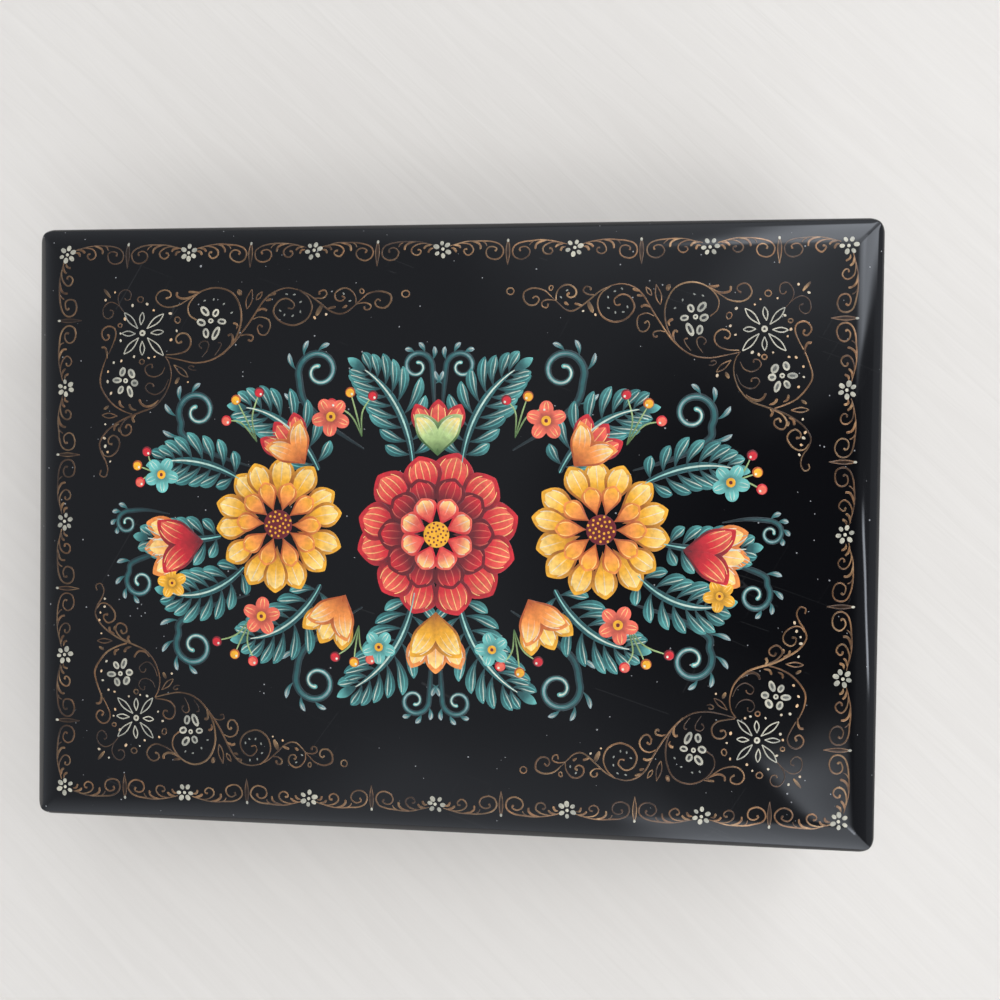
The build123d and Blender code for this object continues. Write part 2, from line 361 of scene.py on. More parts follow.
def shell_of(s, first):
    """Closed shell of one stroke: a point at each end and, between them, rings of seven points: two at
    each edge, one in the lacquer and one at the paint's rim, then a narrow bevel and a low crown.
    Heights are the lid's own plus the paint level."""
    ahead = np.gradient(s.path, axis=0)
    ahead = ahead / np.maximum(np.hypot(*ahead.T), 1e-9)[:, None]
    left = np.stack([-ahead[:, 1], ahead[:, 0]], 1)[1:-1]
    half = s.width[1:-1, None] / 2
    inset = np.clip(1 - PAINT_BEVEL / np.maximum(half, PAINT_BEVEL), *BEVEL_LEAVES)
    one = np.ones_like(half)
    across = np.concatenate([one, one, inset, one * 0, -inset, -one, -one], 1)
    rise = np.where(SECTION_ON_TOP, LAYER * s.level + PAINT_CROWN * SECTION_CROWN, PAINT_SINK)
    x = s.path[1:-1, :1] + left[:, :1] * half * across
    y = s.path[1:-1, 1:] + left[:, 1:] * half * across
    rings = np.stack([x, y, lid_top(x, y) + rise], -1).reshape(-1, 3)
    ends = s.path[[0, -1]]
    end_z = lid_top(ends[:, 0], ends[:, 1]) + LAYER * s.level / 2
    points = np.vstack([rings, np.column_stack([ends, end_z])])
    ring_size = len(SECTION_CROWN)
    tones = np.vstack([np.repeat(s.tone[1:-1], ring_size, 0), s.tone[[0, -1]]])
    index = first + np.arange(len(rings)).reshape(-1, ring_size)
    turned = np.roll(index, -1, 1)
    quads = np.stack([index[:-1], turned[:-1], turned[1:], index[1:]], -1).reshape(-1, 4)
    start = np.full(ring_size, first + len(rings))
    stop = start + 1
    tips = np.concatenate([np.stack([start, turned[0], index[0]], -1),
                           np.stack([stop, index[-1], turned[-1]], -1)])
    return points, tones, quads, tips


def paint_piece(name, strokes, material):
    """One object of many strokes, all closed shells, that rides on the lid."""
    shells = []
    first = 0
    for s in strokes:
        shells.append(shell_of(s, first))
        first += len(shells[-1][0])
    points, tones, quads, tips = (np.concatenate(parts) for parts in zip(*shells))
    piece = make_mesh(name, points, quads, tips, tones)
    piece.data.materials.append(material)
    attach(piece, "lid")


def shaky(amount):
    """A small random shift of a point."""
    return chance.normal(0, amount, 2)


# Materials: helpers that build node trees from values and sockets

BLACK = (0.0022, 0.0022, 0.0028, 1)
RED_GROUND = (0.33, 0.019, 0.011, 1)
RED_STREAK_DARK = (0.27, 0.012, 0.008, 1)
RED_STREAK_LIGHT = (0.40, 0.026, 0.014, 1)
SCRATCH_TONE = (0.035, 0.035, 0.035, 1)
DUST_TONE = (0.42, 0.42, 0.42, 1)
BRASS = (0.72, 0.49, 0.19, 1)
TARNISH = (0.36, 0.22, 0.09, 1)
TABLE_DARK = (0.568, 0.533, 0.489, 1)
TABLE_PALE = (0.588, 0.553, 0.508, 1)
# How far the red masks reach past the hollow, past the wall's inner faces and below the bottom's top
RIM_MASK_MARGIN = 0.05
WALL_MASK_MARGIN = 0.02
BOTTOM_MASK_MARGIN = 0.1


def new_material(name):
    """Material with a Principled shader, its node tree and the shader."""
    material = bpy.data.materials.new(name)
    material.use_nodes = True
    tree = material.node_tree
    tree.nodes.clear()
    output = tree.nodes.new("ShaderNodeOutputMaterial")
    shader = tree.nodes.new("ShaderNodeBsdfPrincipled")
    tree.links.new(shader.outputs["BSDF"], output.inputs["Surface"])
    return material, tree, shader


def feed(tree, target, value):
    """Links value to the target if it is a socket, and otherwise sets it there."""
    if isinstance(value, bpy.types.NodeSocket):
        tree.links.new(value, target)
    else:
        target.default_value = value


def calc(tree, operation, *values):
    """One step of arithmetic on values and sockets."""
    node = tree.nodes.new("ShaderNodeMath")
    node.operation = operation
    for target, value in zip(node.inputs, values):
        feed(tree, target, value)
    return node.outputs[0]


def mix(tree, share, first, second, blend="MIX"):
    """Colour mix: the share, first colour and second colour are its sockets 0, 6 and 7."""
    node = tree.nodes.new("ShaderNodeMix")
    node.data_type = "RGBA"
    node.blend_type = blend
    for number, value in zip((0, 6, 7), (share, first, second)):
        feed(tree, node.inputs[number], value)
    return node.outputs[2]


def object_place(tree):
    """The point on the surface, in metres in the shared frame."""
    return tree.nodes.new("ShaderNodeTexCoord").outputs["Object"]


def noise(tree, place, scale, detail=2.0, distortion=0.0):
    """Noise round 0.5 with so many waves in a metre."""
    node = tree.nodes.new("ShaderNodeTexNoise")
    feed(tree, node.inputs["Vector"], place)
    node.inputs["Scale"].default_value = scale
    node.inputs["Detail"].default_value = detail
    node.inputs["Distortion"].default_value = distortion
    return node.outputs["Fac"]


def remap(tree, value, low, high, to_low, to_high):
    """The value's way from low to high, as the same way from to_low to to_high."""
    node = tree.nodes.new("ShaderNodeMapRange")
    for label, number in (("From Min", low), ("From Max", high), ("To Min", to_low), ("To Max", to_high)):
        node.inputs[label].default_value = number
    feed(tree, node.inputs["Value"], value)
    return node.outputs["Result"]


def stretched(tree, place, scale, turn=0.0):
    """Coordinates turned about Z by so many radians, then scaled differently along each axis."""
    rotate = tree.nodes.new("ShaderNodeVectorRotate")
    rotate.rotation_type = "Z_AXIS"
    feed(tree, rotate.inputs["Vector"], place)
    feed(tree, rotate.inputs["Angle"], turn)
    mapping = tree.nodes.new("ShaderNodeMapping")
    mapping.inputs["Scale"].default_value = scale
    feed(tree, mapping.inputs["Vector"], rotate.outputs["Vector"])
    return mapping.outputs["Vector"]


def bump(tree, shader, height, distance):
    """Tilts the shader's normal by a height whose whole range stands for so many metres."""
    node = tree.nodes.new("ShaderNodeBump")
    node.inputs["Distance"].default_value = distance
    feed(tree, node.inputs["Height"], height)
    feed(tree, shader.inputs["Normal"], node.outputs["Normal"])


def new_group(name, inputs, outputs):
    """Node group with inputs as (label, kind, default) and outputs as (label, kind)."""
    tree = bpy.data.node_groups.new(name, "ShaderNodeTree")
    for label, kind, default in inputs:
        socket = tree.interface.new_socket(label, in_out="INPUT", socket_type="NodeSocket" + kind)
        if default is not None:
            socket.default_value = default
    for label, kind in outputs:
        tree.interface.new_socket(label, in_out="OUTPUT", socket_type="NodeSocket" + kind)
    return tree, tree.nodes.new("NodeGroupInput").outputs, tree.nodes.new("NodeGroupOutput").inputs


def use_group(tree, group, **values):
    """Places a node group with its own values and gives its outputs."""
    node = tree.nodes.new("ShaderNodeGroup")
    node.node_tree = group
    for label, value in values.items():
        feed(tree, node.inputs[label], value)
    return node.outputs


def dust_group():
    """Mask of dust specks: round cells of a Voronoi pattern, only where the cell's own chance is low."""
    tree, given, made = new_group("dust_specks",
                                  [("Vector", "Vector", None), ("Scale", "Float", 500.0),
                                   ("Share", "Float", 0.1), ("Size", "Float", 0.12)],
                                  [("Mask", "Float")])
    cells = tree.nodes.new("ShaderNodeTexVoronoi")
    feed(tree, cells.inputs["Vector"], given["Vector"])
    feed(tree, cells.inputs["Scale"], given["Scale"])
    chances = tree.nodes.new("ShaderNodeSeparateColor")
    feed(tree, chances.inputs["Color"], cells.outputs["Color"])
    reach = calc(tree, "MULTIPLY", chances.outputs["Green"], given["Size"])
    near = calc(tree, "LESS_THAN", cells.outputs["Distance"], reach)
    rare = calc(tree, "LESS_THAN", chances.outputs["Red"], given["Share"])
    feed(tree, made["Mask"], calc(tree, "MULTIPLY", near, rare))
    return tree


def scratch_group():
    """Mask of hairline scratches: where a stretched noise passes its middle, broken up by a wide noise."""
    tree, given, made = new_group("hairline_scratches",
                                  [("Vector", "Vector", None), ("Angle", "Float", 0.4),
                                   ("Width", "Float", 0.004), ("Share", "Float", 0.56)],
                                  [("Mask", "Float")])
    along = stretched(tree, given["Vector"], (4.0, 130.0, 60.0), given["Angle"])
    wander = noise(tree, along, 1.0, 1.0, 0.4)
    off_middle = calc(tree, "ABSOLUTE", calc(tree, "SUBTRACT", wander, 0.5))
    thin = calc(tree, "LESS_THAN", off_middle, given["Width"])
    some = calc(tree, "GREATER_THAN", noise(tree, given["Vector"], 70.0), given["Share"])
    feed(tree, made["Mask"], calc(tree, "MULTIPLY", thin, some))
    return tree


def lacquer_group(dust, scratches):
    """What every lacquered surface shares: a ground colour that is paler where dust and scratches lie, a
    roughness that varies with handling, and the slow waves of a hand-rubbed coat as a height."""
    tree, given, made = new_group("lacquer_finish",
                                  [("Ground", "Color", BLACK), ("Dust", "Float", 0.5),
                                   ("Scratches", "Float", 0.5)],
                                  [("Color", "Color"), ("Roughness", "Float"), ("Height", "Float")])
    place = object_place(tree)
    motes = use_group(tree, dust, Vector=place, Scale=420.0, Share=0.07, Size=0.095)["Mask"]
    grit = use_group(tree, dust, Vector=place, Scale=1500.0, Share=0.05, Size=0.22)["Mask"]
    long_marks = use_group(tree, scratches, Vector=place, Angle=0.35, Width=0.0016, Share=0.60)["Mask"]
    cross_marks = use_group(tree, scratches, Vector=place, Angle=2.1, Width=0.0012, Share=0.62)["Mask"]
    hairs = calc(tree, "MULTIPLY", calc(tree, "MAXIMUM", long_marks, cross_marks), given["Scratches"])
    dusty = calc(tree, "MULTIPLY", calc(tree, "MAXIMUM", motes, grit), given["Dust"])
    scratched = mix(tree, hairs, given["Ground"], SCRATCH_TONE)
    feed(tree, made["Color"], mix(tree, dusty, scratched, DUST_TONE))
    handled = remap(tree, noise(tree, place, 38.0, 4.0), 0.35, 0.7, 0.035, 0.10)
    feed(tree, made["Roughness"], calc(tree, "MULTIPLY_ADD", hairs, 0.08, handled))
    feed(tree, made["Height"], noise(tree, place, 45.0, 1.0))
    return tree


def lay_coat(tree, shader, finish, **values):
    """Gives the shader the finish's colour and roughness, and returns the finish's height."""
    coat = use_group(tree, finish, **values)
    feed(tree, shader.inputs["Base Color"], coat["Color"])
    feed(tree, shader.inputs["Roughness"], coat["Roughness"])
    return coat["Height"]


def black_lacquer_material(finish):
    """Black outside: the lacquer finish with its slow waves."""
    material, tree, shader = new_material("black_lacquer")
    waves = lay_coat(tree, shader, finish, Ground=BLACK, Dust=0.5, Scratches=0.3)
    bump(tree, shader, waves, 0.00012)
    return material


def red_lacquer_material(finish):
    """Red inside: the same finish with broad brush streaks in the colour."""
    material, tree, shader = new_material("red_lacquer")
    streaks = noise(tree, stretched(tree, object_place(tree), (40.0, 400.0, 400.0)), 1.0, 3.0)
    ground = mix(tree, streaks, RED_STREAK_DARK, RED_STREAK_LIGHT)
    lay_coat(tree, shader, finish, Ground=ground, Dust=0.35, Scratches=0.1)
    bump(tree, shader, streaks, 0.00003)
    return material


def two_colour_material(name, red_parts, finish):
    """Black outside and red inside on one CAD node. red_parts gives, from the node tree and the three
    coordinates in metres, a value that is 1 where the lacquer is red."""
    material, tree, shader = new_material(name)
    axes = tree.nodes.new("ShaderNodeSeparateXYZ")
    feed(tree, axes.inputs[0], object_place(tree))
    ground = mix(tree, red_parts(tree, axes.outputs), BLACK, RED_GROUND)
    waves = lay_coat(tree, shader, finish, Ground=ground, Dust=0.45, Scratches=0.3)
    bump(tree, shader, waves, 0.00008)
    return material


def red_above(height):
    """Red where Z is above a height in millimetres."""
    return lambda tree, axes: calc(tree, "GREATER_THAN", axes["Z"], height * MM)


def red_within(half_x, half_y):
    """Red within a rectangle round the middle, in millimetres."""
    def mask(tree, axes):
        in_x = calc(tree, "LESS_THAN", calc(tree, "ABSOLUTE", axes["X"]), half_x * MM)
        in_y = calc(tree, "LESS_THAN", calc(tree, "ABSOLUTE", axes["Y"]), half_y * MM)
        return calc(tree, "MULTIPLY", in_x, in_y)
    return mask


def paint_material(name, metallic, roughness, patch_scale, faint, full):
    """Brush paint under clear varnish: the colour comes from each point's own paint colour, a little
    lighter and darker as the brush left it, and between faint and full in patches as it wore."""
    material, tree, shader = new_material(name)
    place = object_place(tree)
    own = tree.nodes.new("ShaderNodeAttribute")
    own.attribute_name = "paint"
    uneven = remap(tree, noise(tree, place, 1400.0, 3.0), 0.3, 0.7, 0.78, 1.12)
    patches = remap(tree, noise(tree, place, patch_scale), 0.3, 0.7, faint, full)
    tint = tree.nodes.new("ShaderNodeVectorMath")
    tint.operation = "SCALE"
    feed(tree, tint.inputs[0], own.outputs["Color"])
    feed(tree, tint.inputs["Scale"], calc(tree, "MULTIPLY", uneven, patches))
    feed(tree, shader.inputs["Base Color"], tint.outputs["Vector"])
    shader.inputs["Metallic"].default_value = metallic
    shader.inputs["Roughness"].default_value = roughness
    shader.inputs["Coat Weight"].default_value = 1.0
    shader.inputs["Coat Roughness"].default_value = 0.06
    bump(tree, shader, noise(tree, place, 2500.0, 2.0), 0.00001)
    return material


def brass_material():
    """Old polished brass: brown tarnish in patches, fine rubbing marks along the length."""
    material, tree, shader = new_material("hinge_brass")
    place = object_place(tree)
    patches = remap(tree, noise(tree, place, 420.0, 4.0), 0.42, 0.66, 0.0, 1.0)
    rubbed = noise(tree, stretched(tree, place, (300.0, 6000.0, 6000.0)), 1.0, 2.0)
    feed(tree, shader.inputs["Base Color"], mix(tree, patches, BRASS, TARNISH))
    feed(tree, shader.inputs["Roughness"], remap(tree, patches, 0.0, 1.0, 0.22, 0.46))
    shader.inputs["Metallic"].default_value = 1.0
    bump(tree, shader, rubbed, 0.000006)
    return material


# Gold border and corner ornament, drawn in millimetres

BORDER_X = 64.05
BORDER_FRONT = -45.5
BORDER_REAR = 44.75
LONG_UNITS = 6
SHORT_UNITS = 4
HALF_UNIT = 10.75
GOLD_LINE = 0.25
FINE_LINE = 0.19
HOOK_LINE = 0.36
WHITE_LINE = 0.2

# One half unit of the border, from a flower at u = 0 to a spindle at u = HALF_UNIT. u runs along the
# edge and v towards the middle of the lid.
BORDER_STEM = [
    (1.2, -0.6), (2.4, -0.95), (3.9, -1.3), (5.4, -1.4), (7.0, -1.3), (8.4, -1.1), (9.5, -0.6),
    (10.0, 0.3), (9.7, 1.3), (8.7, 1.75), (7.6, 1.4), (7.2, 0.6), (7.5, -0.1), (8.2, -0.35), (8.9, 0.0),
    (8.7, 0.5),
]
BORDER_SCROLL = [
    (2.5, -0.95), (3.5, -1.0), (4.5, -0.7), (5.1, 0.0), (4.9, 0.7), (4.2, 1.0), (3.6, 0.6), (3.6, 0.1),
    (4.1, 0.0),
]
BORDER_HOOKS = [
    [(4.4, -1.35), (5.5, -1.15), (6.2, -0.6), (6.3, 0.1)],
    [(1.7, -0.75), (2.6, -0.6), (3.1, -0.1)],
    [(1.4, -0.2), (2.0, -0.1), (2.3, 0.5)],
]
BORDER_TICK = [(6.5, -1.25), (7.0, -1.0), (7.3, -0.5)]

# Corners, drawn freehand and so not alike: name, place of the star, and how much longer the curls reach
# towards the middle along the front and along the side
CORNERS = [
    ("front_left", (-51.2, -32.7), (1.0, 1.0)),
    ("front_right", (50.4, -32.4), (1.115, 1.09)),
    ("rear_left", (-51.05, 32.55), (0.92, 0.96)),
    ("rear_right", (51.05, 32.7), (0.895, 1.015)),
]

# One corner ornament round its star. p runs from the star along X towards the middle of the lid and q
# along Y towards the middle.
VINES = [
    [(3.7, 3.9), (6.1, 4.5), (8.6, 4.9), (11.2, 4.4), (13.5, 2.8), (15.1, 0.2), (15.4, -3.2),
     (14.0, -6.1), (11.4, -7.1), (8.8, -6.3), (7.2, -4.4), (7.3, -2.7), (8.5, -1.7)],
    [(24.0, -6.6), (22.1, -6.9), (20.2, -6.3), (18.8, -5.0), (17.7, -3.1), (16.4, -0.9), (14.4, 1.9),
     (12.6, 3.7)],
    [(24.0, -6.6), (25.5, -5.4), (26.1, -3.6), (25.4, -1.8), (23.5, -0.8), (21.4, -1.4), (20.3, -3.0),
     (20.9, -4.7), (22.3, -5.2), (23.4, -4.4), (23.2, -3.5), (22.4, -3.6)],
    [(33.3, -4.8), (32.2, -3.7), (31.1, -2.8), (30.0, -2.6), (28.7, -3.2), (27.2, -4.5), (25.6, -5.8),
     (24.0, -6.6)],
    [(33.3, -4.8), (34.6, -5.9), (36.3, -6.3), (37.7, -5.7), (37.8, -4.5), (37.0, -3.6), (35.9, -3.7),
     (35.4, -4.4), (35.9, -5.0), (36.4, -4.6)],
    [(3.7, 3.9), (4.5, 5.2), (4.7, 7.2), (3.9, 9.6), (2.1, 11.5), (0.0, 12.4), (-2.1, 13.1), (-4.1, 14.0),
     (-6.1, 15.4), (-7.3, 17.2), (-7.0, 18.7), (-6.2, 20.0), (-5.8, 21.3), (-6.3, 22.4), (-7.2, 22.1),
     (-7.0, 21.3)],
    [(-6.2, 3.6), (-7.1, 5.9), (-7.4, 7.8), (-6.7, 9.4), (-5.2, 11.1), (-3.4, 12.1), (-1.6, 12.7)],
]
SCROLLS = [
    [(7.9, -5.8), (6.8, -5.0), (5.5, -4.3), (3.9, -4.0), (2.6, -4.5), (2.0, -5.5), (2.4, -6.5),
     (3.3, -6.9), (4.2, -6.5), (4.3, -5.8), (3.6, -5.4)],
    [(3.8, 3.7), (5.4, 3.6), (6.8, 3.2), (7.6, 2.3), (7.6, 1.2), (6.9, 0.5), (5.9, 0.5), (5.3, 1.1),
     (5.6, 1.8), (6.3, 1.6)],
    [(-6.0, 3.5), (-5.2, 2.0), (-4.7, 0.6), (-5.1, -0.5), (-6.1, -0.9), (-7.0, -0.3), (-7.2, 0.6),
     (-6.6, 1.3), (-5.9, 1.0), (-6.2, 0.4)],
    [(32.7, -4.2), (32.6, -5.5), (31.7, -6.6), (30.6, -6.8), (29.6, -6.1), (29.6, -5.1), (30.4, -4.7),
     (31.0, -5.2), (30.5, -5.5)],
    [(26.6, -5.2), (27.6, -5.2), (28.3, -5.8), (27.9, -6.5), (27.2, -6.3), (27.2, -5.8)],
    [(17.1, -1.8), (18.3, -2.2), (19.5, -1.7), (19.9, -0.5), (19.3, 0.6), (18.4, 0.6), (17.9, -0.2),
     (18.2, -0.9), (18.7, -0.5)],
    [(15.4, 0.8), (16.3, 0.6), (17.2, 0.9), (17.1, 1.6), (16.5, 1.4)],
    [(32.7, -4.2), (34.0, -4.4), (34.9, -4.0), (34.8, -3.3), (34.1, -3.2), (33.9, -3.8)],
    [(-1.4, 13.0), (-2.8, 13.7), (-3.6, 14.8), (-3.3, 15.8), (-2.5, 16.0), (-1.7, 15.4), (-1.7, 14.6),
     (-2.4, 14.3), (-2.7, 14.9)],
    [(-7.0, 18.3), (-6.4, 19.1), (-5.4, 19.2), (-4.3, 18.5), (-3.7, 17.4), (-4.0, 16.4), (-4.9, 16.0),
     (-5.7, 16.5), (-5.7, 17.3), (-5.0, 17.4)],
]
FAINT_SCROLLS = [
    [(-3.1, -3.0), (-3.9, -3.9), (-4.4, -5.0), (-4.3, -6.1), (-3.6, -6.9), (-2.7, -6.9), (-2.2, -6.2),
     (-2.4, -5.4), (-3.0, -5.2), (-3.3, -5.6)],
    [(-3.5, -3.4), (-4.5, -4.4), (-5.7, -4.9), (-6.7, -4.4), (-7.1, -3.4), (-6.9, -2.5), (-6.1, -2.1),
     (-5.4, -2.7), (-5.4, -3.4), (-5.9, -3.6)],
    [(3.8, 5.5), (3.2, 6.5), (2.1, 7.0), (1.0, 6.7), (0.5, 5.9), (0.9, 5.2), (1.6, 5.1), (1.7, 5.7)],
    [(4.3, 7.4), (3.6, 8.9), (2.4, 9.7), (1.3, 9.4), (0.7, 8.7), (1.1, 8.0), (1.8, 8.1), (2.0, 8.6)],
    [(9.5, 4.1), (10.4, 2.8), (10.4, 1.8), (9.6, 1.6), (9.0, 2.2), (9.4, 2.8)],
    [(11.4, 3.8), (12.2, 2.7), (12.4, 2.0), (11.9, 1.8)],
    [(8.6, 6.0), (7.9, 6.0), (7.4, 5.6), (7.8, 5.3), (8.3, 5.5)],
]
HOOKS = [
    [(8.8, -6.4), (7.9, -6.4), (7.1, -6.5)],
    [(8.4, -6.2), (7.2, -5.5), (6.1, -5.4), (5.3, -5.8), (5.3, -6.5)],
    [(-6.2, 4.2), (-6.3, 3.2), (-6.6, 2.5), (-7.3, 2.4)],
    [(2.8, 10.6), (1.9, 11.3), (0.9, 11.5), (0.1, 11.1), (-0.3, 10.4)],
    [(14.7, -0.2), (14.9, -0.7), (14.6, -1.1), (14.1, -1.2)],
    [(13.9, 2.4), (14.2, 1.3), (13.9, 0.6), (13.4, 0.8)],
    [(-0.8, 12.1), (-1.7, 11.9), (-2.1, 11.2)],
    [(-3.0, 11.7), (-3.7, 11.3), (-3.8, 10.6)],
    [(-0.9, 12.8), (-1.4, 13.4), (-1.1, 14.0)],
    [(-3.8, 14.2), (-4.6, 14.5), (-4.8, 15.3)],
    [(17.7, -3.1), (18.6, -3.5), (19.3, -3.2)],
    [(19.0, -4.9), (19.9, -5.1)],
    [(19.4, -5.7), (20.6, -6.1)],
    [(28.4, -3.4), (29.7, -3.8)],
    [(30.7, -3.5), (31.4, -4.0)],
]
# Outlined leaves: base, tip and belly
LEAF_LINES = [
    ((5.1, 5.2), (7.4, 7.1), 0.8), ((-4.2, 13.0), (-7.0, 12.9), 0.75), ((16.9, -6.8), (16.2, -3.5), 0.9),
    ((18.5, -6.4), (17.6, -5.0), 0.6),
]
# Dabs and rings: place, width, length and heading
LEAF_DABS = [
    ((5.7, 7.6), 0.55, 1.2, 120), ((-6.4, -6.4), 0.5, 2.0, 50), ((27.2, -3.2), 0.75, 2.1, 115),
    ((14.9, -6.4), 0.45, 0.9, 60), ((-6.2, 11.7), 0.45, 1.1, 150), ((-3.8, 15.1), 0.5, 0.8, 80),
]
SMALL_RINGS = [
    ((15.0, -6.3), 0.55, 0.9, 70), ((-0.5, -5.3), 0.95, 1.0, 0), ((5.5, -1.8), 0.85, 1.05, 70),
    ((-4.0, -1.0), 0.65, 0.7, 0), ((0.0, 4.7), 0.75, 0.8, 0), ((40.0, -5.8), 1.1, 1.15, 0),
    ((33.5, -6.3), 0.6, 0.8, 70),
]
PALE_DOTS = [
    (0.7, -4.5), (-1.9, -4.3), (1.7, -3.5), (4.4, -2.8), (5.3, -0.1), (4.5, 1.4), (-3.1, -1.9),
    (-3.7, 1.5), (2.0, 3.9), (1.0, 4.3), (-1.4, 3.9), (-3.7, 4.6), (-5.0, 4.8), (-6.0, 6.2), (-6.2, 7.8),
    (-5.4, 9.4), (7.2, 7.8), (-5.0, -6.6), (-6.7, -5.3), (-6.3, 14.3), (-6.4, 16.4), (-6.3, 17.6),
    (-5.8, 18.5), (-5.5, 19.9), (28.4, -2.5), (26.5, -1.9), (-4.1, 0.4),
]
SPIRAL_DOTS = [
    (23.5, -5.8), (22.2, -6.0), (24.4, -4.6), (24.3, -3.1), (23.3, -2.3), (22.1, -2.4), (21.3, -3.2),
    (9.6, -5.0), (11.0, -5.2), (12.7, -4.3), (13.9, -3.0), (30.9, -6.0), (31.9, -4.8),
]
# Petals of the star: base, tip and belly
STAR_PETALS = [
    ((0.7, -0.4), (3.3, -2.9), 0.95), ((-0.8, -0.4), (-3.2, -3.1), 0.95), ((0.8, 1.0), (3.4, 3.7), 0.95),
    ((-0.6, 1.0), (-3.3, 3.6), 0.95), ((-0.3, -1.0), (-0.1, -3.2), 0.75), ((1.3, 0.3), (3.4, 0.3), 0.75),
    ((-1.2, 0.4), (-3.6, 0.4), 0.75), ((0.0, 1.5), (0.1, 3.6), 0.75),
]
# Flowers of six petals: middle, and each petal's place, width, length and heading
RING_FLOWER = ((10.7, -1.6), [
    ((11.4, -2.9), 1.1, 1.4, 115), ((9.7, -3.2), 1.2, 1.9, 50), ((12.4, -1.4), 1.0, 1.4, 10),
    ((9.3, -1.4), 1.2, 1.5, 25), ((11.6, 0.4), 1.1, 2.3, 115), ((10.0, 0.4), 1.1, 1.6, 80),
])
FULL_FLOWER = ((-2.8, 7.6), [
    ((-1.7, 6.5), 1.2, 1.6, 60), ((-3.4, 6.2), 1.1, 1.5, 110), ((-1.2, 7.9), 1.2, 1.3, 10),
    ((-4.4, 7.5), 1.0, 1.7, 0), ((-2.1, 9.3), 1.0, 1.9, 70), ((-3.6, 9.0), 1.0, 1.4, 120),
])


def gold_tone(dim=0.25):
    """Five colours along one stroke: bronze gold, somewhere pale and somewhere rubbed thin."""
    pale = chance.random(5)[:, None] ** 2
    worn = np.clip(chance.normal(dim + 0.1, 0.2) + chance.normal(0, 0.25, 5), 0, 0.95)[:, None]
    tone = GOLD + (GOLD_PALE - GOLD) * pale
    return tone + (GOLD_DIM - tone) * worn


def white_tone():
    """Two colours for one stroke of greyish white."""
    return PETAL_WHITE + (PETAL_GREY - PETAL_WHITE) * chance.random(2)[:, None] * 0.8


def gold_line(points, width, dim, taper, swell, level):
    """A gold stroke through the points, each a little out of place, up to an eighth finer or fuller."""
    points = np.asarray(points) + chance.normal(0, 0.03, (len(points), 2))
    width = width * chance.uniform(0.9, 1.12)
    return line(points, width, gold_tone(dim), level + chance.random() * 0.4, taper, swell)


def border_half_unit():
    """Stem with its two scrolls and hooks, from a flower to a spindle."""
    strokes = [gold_line(BORDER_STEM, GOLD_LINE, 0.35, (0.6, 0.9), 0.7, 1.0),
               gold_line(BORDER_SCROLL, GOLD_LINE, 0.2, (0.5, 0.9), 0.7, 1.6),
               gold_line(BORDER_TICK, FINE_LINE, 0.6, (0.4, 0.6), 0.2, 2.0)]
    for hook in BORDER_HOOKS:
        strokes.append(gold_line(hook, HOOK_LINE, 0.1, (0.3, 0.7), 0.2, 2.2))
    return strokes


def spindle():
    """Pointed leaf across the border, dark inside its outline."""
    body = petal((0, 2.7), -90, 4.3, 0.6, [GOLD_DIM * 0.8, GOLD_DIM * 0.5, GOLD_DIM], 1.0, 0, 0.45)
    return [body] + leaf_line((0, 2.7), (0, -1.6), 0.62, 0.15, gold_tone(0.5), 1.6)


def border_flower():
    """Six dabs round a small one."""
    turn = chance.uniform(0, 60)
    dabs = [dot(shaky(0.06), 0.55, PETAL_WHITE, 2.0)]
    for number in range(6):
        heading = turn + 60 * number + chance.normal(0, 5)
        size = chance.uniform(0.85, 1.15)
        place = toward(heading) * chance.uniform(1.0, 1.12)
        dabs.append(dot(place, 0.72 * size, white_tone(), 2.0 + 0.05 * number, 0.94 * size, heading))
    return dabs


def border_sides():
    """For each side of the border: its start corner, its direction along and inwards, how many units it
    has, and its length."""
    width = 2 * BORDER_X
    depth = BORDER_REAR - BORDER_FRONT
    return [((-BORDER_X, BORDER_FRONT), (1, 0), (0, 1), LONG_UNITS, width),
            ((BORDER_X, BORDER_FRONT), (0, 1), (-1, 0), SHORT_UNITS, depth),
            ((BORDER_X, BORDER_REAR), (-1, 0), (0, -1), LONG_UNITS, width),
            ((-BORDER_X, BORDER_REAR), (0, -1), (1, 0), SHORT_UNITS, depth)]


def draw_border():
    """Gold scrolls and pale flowers of the four sides. Each unit has a flower at its start, two half
    units that mirror each other, and a spindle with a pale dab at its outer end between them."""
    scrolls, flowers = [], []
    for start, along, inward, units, length in border_sides():
        along, inward = np.array(along), np.array(inward)
        inward_heading = np.degrees(np.arctan2(*inward[::-1]))
        step = length / units
        for number in range(units):
            flower_at = np.array(start) + along * step * number
            flowers += moved(border_flower(), lambda p: flower_at + p)
            for side in (1, -1):
                base = flower_at + (along * step if side < 0 else 0)
                stretch = step / 2 / HALF_UNIT
                scrolls += moved(border_half_unit(),
                                 lambda p: base + side * stretch * p[:, :1] * along + p[:, 1:] * inward)
            middle = flower_at + along * step / 2 + shaky(0.08)
            scrolls += moved(spindle(), lambda p: middle + p[:, :1] * along + p[:, 1:] * inward)
            flowers.append(dot(middle - inward * 1.4, 0.4, white_tone(), 3.0, 0.6, inward_heading))
    return scrolls, flowers


